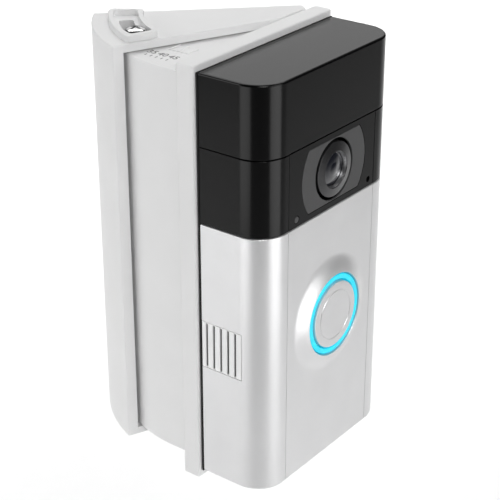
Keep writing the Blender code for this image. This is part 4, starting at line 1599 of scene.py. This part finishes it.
@dataclass
class Internals:
    """Housings, boards and fixings, most of them seen only from behind or with the cover open."""

    frame: LocalFrame

    rounded: ClassVar[tuple[tuple[str, str, str, float, Finish], ...]] = (
        ("rear_housing", "rear_shell", "doorbell", 0.12, MATT_BLACK),
        ("mounting_plate", "base_plate", "doorbell", 0.35, MATT_BLACK),
        ("inner_frame", "battery_frame", "doorbell", 0.3, MATT_BLACK),
        ("lens_holder", "lens_mount_block", "doorbell", 0.25, MATT_BLACK),
        ("speaker", "speaker_case", "doorbell", 0.3, MATT_BLACK),
        ("ring_spacer", "ring_spacer_collar", "doorbell", 0.2, MATT_BLACK),
        ("press_switch", "press_switch_case", "doorbell", 0.2, MATT_BLACK),
        ("setup_button", "setup_button_post", "setup_button", 0.2, MATT_BLACK),
        ("light_sensor", "light_sensor_pipe", "doorbell", 0.12, SURROUND_GREY),
    )

    def build(self) -> None:
        """Builds every piece of the group."""
        for node, name, body, radius, finish in self.rounded:
            Solid.from_node(name, node, self.frame).bevel(radius).dress(
                self.frame, finish, body, [node]
            )
        self._screws()
        self._lights()
        self._components()
        self._perforations()

    def _screw(self, head: float, head_radius: float, shaft: float, length: float) -> Solid:
        """Makes a cross-head screw that points down, its head's top at height 0.

        Args:
            head: Depth of the head.
            head_radius: Radius of the head.
            shaft: Radius of the shaft.
            length: Length from the head's top to the tip.

        Returns:
            The screw.
        """
        dome = [
            (head_radius * math.sin(turn), -0.5 + 0.5 * math.cos(turn))
            for turn in map(math.radians, range(0, 91, 15))
        ]
        below = [(head_radius, -head), (shaft, -head), (shaft, -length), (0, -length)]
        screw = Solid.turned("screw", [*dome, *below], sides=32)
        long, wide, deep = head_radius * 0.62, 0.32, 0.8
        for x, y in ((long, wide), (wide, long)):
            screw.cut(Solid.block("recess", (-x, -y, -deep), (x, y, CUT)))
        return screw

    def _screws(self) -> None:
        """Sets the plate's screws, the two bell-wire screws and the cover's security screw."""
        low, high = self.frame.corners("plate_screw_1")
        places = [self.frame.middle(f"plate_screw_{i}") for i in range(1, 5)]
        columns = sorted({round(p.x, 2) for p in places})
        rows = sorted({round(p.z, 2) for p in places})
        for index, z in enumerate(rows):
            screw = self._screw(1.5, 2.8, 1.5, high.y - low.y).moved(
                Matrix.Translation((0, low.y, 0)) @ STAND
            )
            made = Repeater.copies(
                f"plate_screws_{index + 1}", Layout.ROW, screw, PLATED_STEEL,
                Count=len(columns),
                Start=(columns[0], 0.0, z),
                Step=(columns[-1] - columns[0], 0.0, 0.0),
            )
            nodes = [f"plate_screw_{i + 1}" for i, p in enumerate(places) if abs(p.z - z) < 0.1]
            made.dress(self.frame, PLATED_STEEL, "doorbell", nodes)
        low, high = self.frame.corners("terminal_screw_1")
        first, last = self.frame.middle("terminal_screw_1"), self.frame.middle("terminal_screw_2")
        turn = Matrix.Translation((0, high.y, 0)) @ Matrix.Rotation(-math.pi / 2, 4, "X")
        screw = self._screw(1.4, 2.8, 1.3, high.y - low.y).moved(turn)
        made = Repeater.copies(
            "terminal_screws", Layout.ROW, screw, PLATED_STEEL,
            Count=2, Start=(first.x, 0.0, first.z), Step=(last.x - first.x, 0.0, 0.0),
        )
        made.dress(self.frame, PLATED_STEEL, "doorbell", ["terminal_screw_1", "terminal_screw_2"])
        low, high = self.frame.corners("security_screw")
        middle = self.frame.middle("security_screw")
        head = [(0, 0.0), (1.9, 0.0), (2.2, 0.15), (2.3, 0.5), (2.3, 1.1), (1.2, 1.1)]
        profile = [*((r, low.z + h) for r, h in head), (1.2, high.z), (0, high.z)]
        security = Solid.turned("security_screw_body", profile, sides=48)
        security.cut(Solid.cylinder("drive", 1.0, -CUT, low.z + 0.6, 6))
        security.at(middle.x, middle.y, 0).dress(
            self.frame, PLATED_STEEL, "security_screw", ["security_screw"]
        )

    def _lights(self) -> None:
        """Sets the light chips that feed the ring, round the button's board."""
        low = self.frame.corners("button_board")[0]
        middle = self.frame.middle("button_board")
        chip = Solid.block("chip", (-0.8, -0.6, 0.0), (0.8, 0.6, 0.7), 0.12)
        chips = Repeater.copies(
            "ring_light_chips", Layout.RING, chip, WHITE_SHELL,
            Count=12, Radius=10.6, First=0.0, Spacing=math.pi / 6, Centre=(0.0, 0.0, -low.y),
        )
        chips.out_of_face(middle.x, middle.z).dress(self.frame, WHITE_SHELL, "doorbell")

    def _components(self) -> None:
        """Scatters small parts over the main board."""
        low = self.frame.corners("main_board")[0]
        middle = self.frame.middle("main_board")
        chip = Solid.block("part", (-0.5, -0.5, 0.0), (0.5, 0.5, 0.5), 0.06)
        parts = Repeater.copies(
            "board_components", Layout.GRID, chip, CHIP_BLACK,
            Width=44.0, Depth=31.0, Columns=12, Rows=9, Centre=(0.0, 0.0, -low.y),
            Seed=7, Share=0.7, Smallest=(1.2, 1.0, 0.8), Largest=(4.6, 3.6, 1.7),
        )
        parts.out_of_face(middle.x, middle.z).dress(self.frame, CHIP_BLACK, "doorbell")

    def _perforations(self) -> None:
        """Sets the sound openings of the speaker, which faces the vent."""
        low = self.frame.corners("speaker")[0]
        middle = self.frame.middle("speaker")
        ring = Solid.turned(
            "perforation", [(0.32, 0.0), (0.5, 0.0), (0.5, 0.18), (0.32, 0.18)], ring=True, sides=10
        )
        rings = Repeater.copies(
            "speaker_perforations", Layout.GRID, ring, PLATED_STEEL,
            Width=3.0, Depth=10.5, Columns=3, Rows=8, Centre=(0.0, 0.0, 0.0),
            Seed=1, Share=1.0, Smallest=(1.0, 1.0, 1.0), Largest=(1.0, 1.0, 1.0),
        )
        turn = Matrix(
            ((0, 0, -1, low.x + 0.05), (-1, 0, 0, middle.y), (0, 1, 0, middle.z), (0, 0, 0, 1))
        )
        rings.moved(turn).dress(self.frame, PLATED_STEEL, "doorbell")


# ---------------------------------------------------------------- studio


@dataclass(frozen=True)
class Softbox:
    """Soft rectangular studio light, in metres, aimed at a point."""

    name: str
    place: tuple[float, float, float]
    aim: tuple[float, float, float]
    size: Point
    power: float
    spread: float = 120.0

    def build(self) -> None:
        """Adds the light."""
        data = bpy.data.lights.new(self.name, "AREA")
        data.shape = "RECTANGLE"
        data.size, data.size_y = self.size
        data.energy = self.power
        data.spread = math.radians(self.spread)
        lamp = bpy.data.objects.new(self.name, data)
        lamp.location = self.place
        way = Vector(self.aim) - Vector(self.place)
        lamp.rotation_euler = way.to_track_quat("-Z", "Y").to_euler()
        bpy.context.scene.collection.objects.link(lamp)


@dataclass
class Studio:
    """Camera, pale floor and lights."""

    eye: tuple[float, float, float] = (-0.04099, -0.41275, 0.18749)
    forward: tuple[float, float, float] = (0.1212, 0.8898, -0.4400)
    right: tuple[float, float, float] = (0.9909, -0.1350, 0.0)
    lens: float = 106.5
    floor_z: float = -0.35
    softboxes: tuple[Softbox, ...] = (
        Softbox("side_left", (-1.3, 0.1, 0.35), (0.0, 0.0, 0.0), (0.9, 0.9), 2.25, 90.0),
        Softbox("key_right", (0.9, -0.7, 0.6), (0.0, 0.0, 0.0), (0.8, 0.8), 1.25, 90.0),
        Softbox("front_high", (0.15, -1.2, 0.9), (0.0, 0.0, 0.0), (0.5, 0.5), 2.1, 90.0),
        Softbox("back_panel", (0.2, 1.6, 0.75), (0.0, 0.0, 0.0), (1.8, 0.7), 1.8, 120.0),
        Softbox("floor_wash", (0.1, 1.3, 1.4), (0.1, 1.3, -0.35), (2.0, 1.6), 24.0, 110.0),
        Softbox("low_left", (-0.63, -0.47, -0.17), (0.0, -0.05, -0.05), (0.52, 0.34), 0.5, 110.0),
        Softbox("low_right", (0.55, -0.52, -0.13), (0.0, -0.05, -0.05), (0.52, 0.42), 0.82, 110.0),
        Softbox("floor_left", (-0.95, 0.0, 0.1), (-0.85, 0.0, -0.35), (0.4, 0.6), 0.7, 70.0),
    )

    def build(self) -> None:
        """Sets up the camera, the floor, the lights and the surroundings."""
        self._camera()
        self._floor()
        for light in self.softboxes:
            light.build()
        self._surroundings()
        bpy.context.scene.view_settings.view_transform = "Standard"

    def _camera(self) -> None:
        """Adds the camera and makes it the scene's."""
        data = bpy.data.cameras.new("studio_camera")
        data.lens = self.lens
        data.clip_start = 0.01
        camera = bpy.data.objects.new("studio_camera", data)
        forward = Vector(self.forward).normalized()
        right = Vector(self.right).normalized()
        up = right.cross(forward)
        turn = Matrix((right, up, -forward)).transposed().to_4x4()
        camera.matrix_world = Matrix.Translation(self.eye) @ turn
        bpy.context.scene.collection.objects.link(camera)
        bpy.context.scene.camera = camera

    def _floor(self) -> None:
        """Adds the plain floor, with a faint unevenness in its material."""
        half = 6.0
        mesh = bpy.data.meshes.new("floor")
        corners = [
            (-half, -half, self.floor_z),
            (half, -half, self.floor_z),
            (half, half, self.floor_z),
            (-half, half, self.floor_z),
        ]
        mesh.from_pydata(corners, [], [(0, 1, 2, 3)])
        floor = bpy.data.objects.new("floor", mesh)
        bpy.context.scene.collection.objects.link(floor)
        paper = Finish(
            "floor_paper", Slot.WHITE, (0.85, 0.85, 0.85), 0.9, specular=0.1, grain=3.0, depth=0.01,
            mottle=0.004,
        )
        mesh.materials.append(paper.material())

    def _surroundings(self) -> None:
        """Gives the world a soft gradient, bright behind the object and dimmer in front."""
        world = bpy.data.worlds.new("studio_surroundings")
        world.use_nodes = True
        tree = world.node_tree
        place = tree.nodes.new("ShaderNodeTexCoord").outputs["Generated"]
        split = tree.nodes.new("ShaderNodeSeparateXYZ")
        tree.links.new(place, split.inputs["Vector"])
        ramp = tree.nodes.new("ShaderNodeValToRGB")
        ramp.color_ramp.elements[0].position = 0.0
        ramp.color_ramp.elements[0].color = (0.30, 0.30, 0.30, 1.0)
        ramp.color_ramp.elements[1].position = 0.6
        ramp.color_ramp.elements[1].color = (1.0, 1.0, 1.0, 1.0)
        tree.links.new(split.outputs["Y"], ramp.inputs["Fac"])
        tree.links.new(ramp.outputs["Color"], tree.nodes["Background"].inputs["Color"])
        tree.nodes["Background"].inputs["Strength"].default_value = 0.06
        bpy.context.scene.world = world


# ---------------------------------------------------------------- assembly


def joint(frame: dict[str, Any], name: str) -> dict[str, Any]:
    """Finds a joint of the record by its name."""
    return next(row for row in frame["joints"] if row["name"] == name)


def main() -> None:
    """Builds the visible model round the CAD frame."""
    logging.basicConfig(level=logging.INFO, format="%(message)s")
    for old in list(bpy.data.objects):
        bpy.data.objects.remove(old, do_unlink=True)
    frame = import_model()
    for node, finish in NODE_FINISHES.items():
        materials = frame["nodes"][node].data.materials
        materials.clear()
        materials.append(finish.material())

    hinge = Vector(joint(frame, "bracket_hinge")["pos_m"])
    mount = LocalFrame(hinge, Vector((0.0, 1.0, 0.0)))
    rough = LocalFrame(Vector(), Vector(joint(frame, "button_press")["axis"]).normalized())
    low, high = rough.corners("rear_housing")
    origin = rough.matrix @ Vector(((low.x + high.x) / 2, high.y, low.z))
    body = LocalFrame(origin, rough.back)
    hinge_in_body = body.matrix.inverted() @ hinge

    WallBracket(mount).build()
    SwingBracket(body, (hinge_in_body.x, hinge_in_body.y)).build()
    ClampScrew(body).build()
    shells = BodyShells(body)
    shells.cap()
    button = body.middle("button_cap")
    shells.cover(button)
    shells.vents()
    lens = body.middle("lens_trim")
    sensor = body.middle("light_sensor")
    shells.camera_section(lens, [sensor], (body.middle("microphone").x, sensor.z))
    Camera(body, shells.front, lens).build()
    BellButton(body, button).build()
    Internals(body).build()
    Studio().build()


if __name__ == "__main__":
    main()
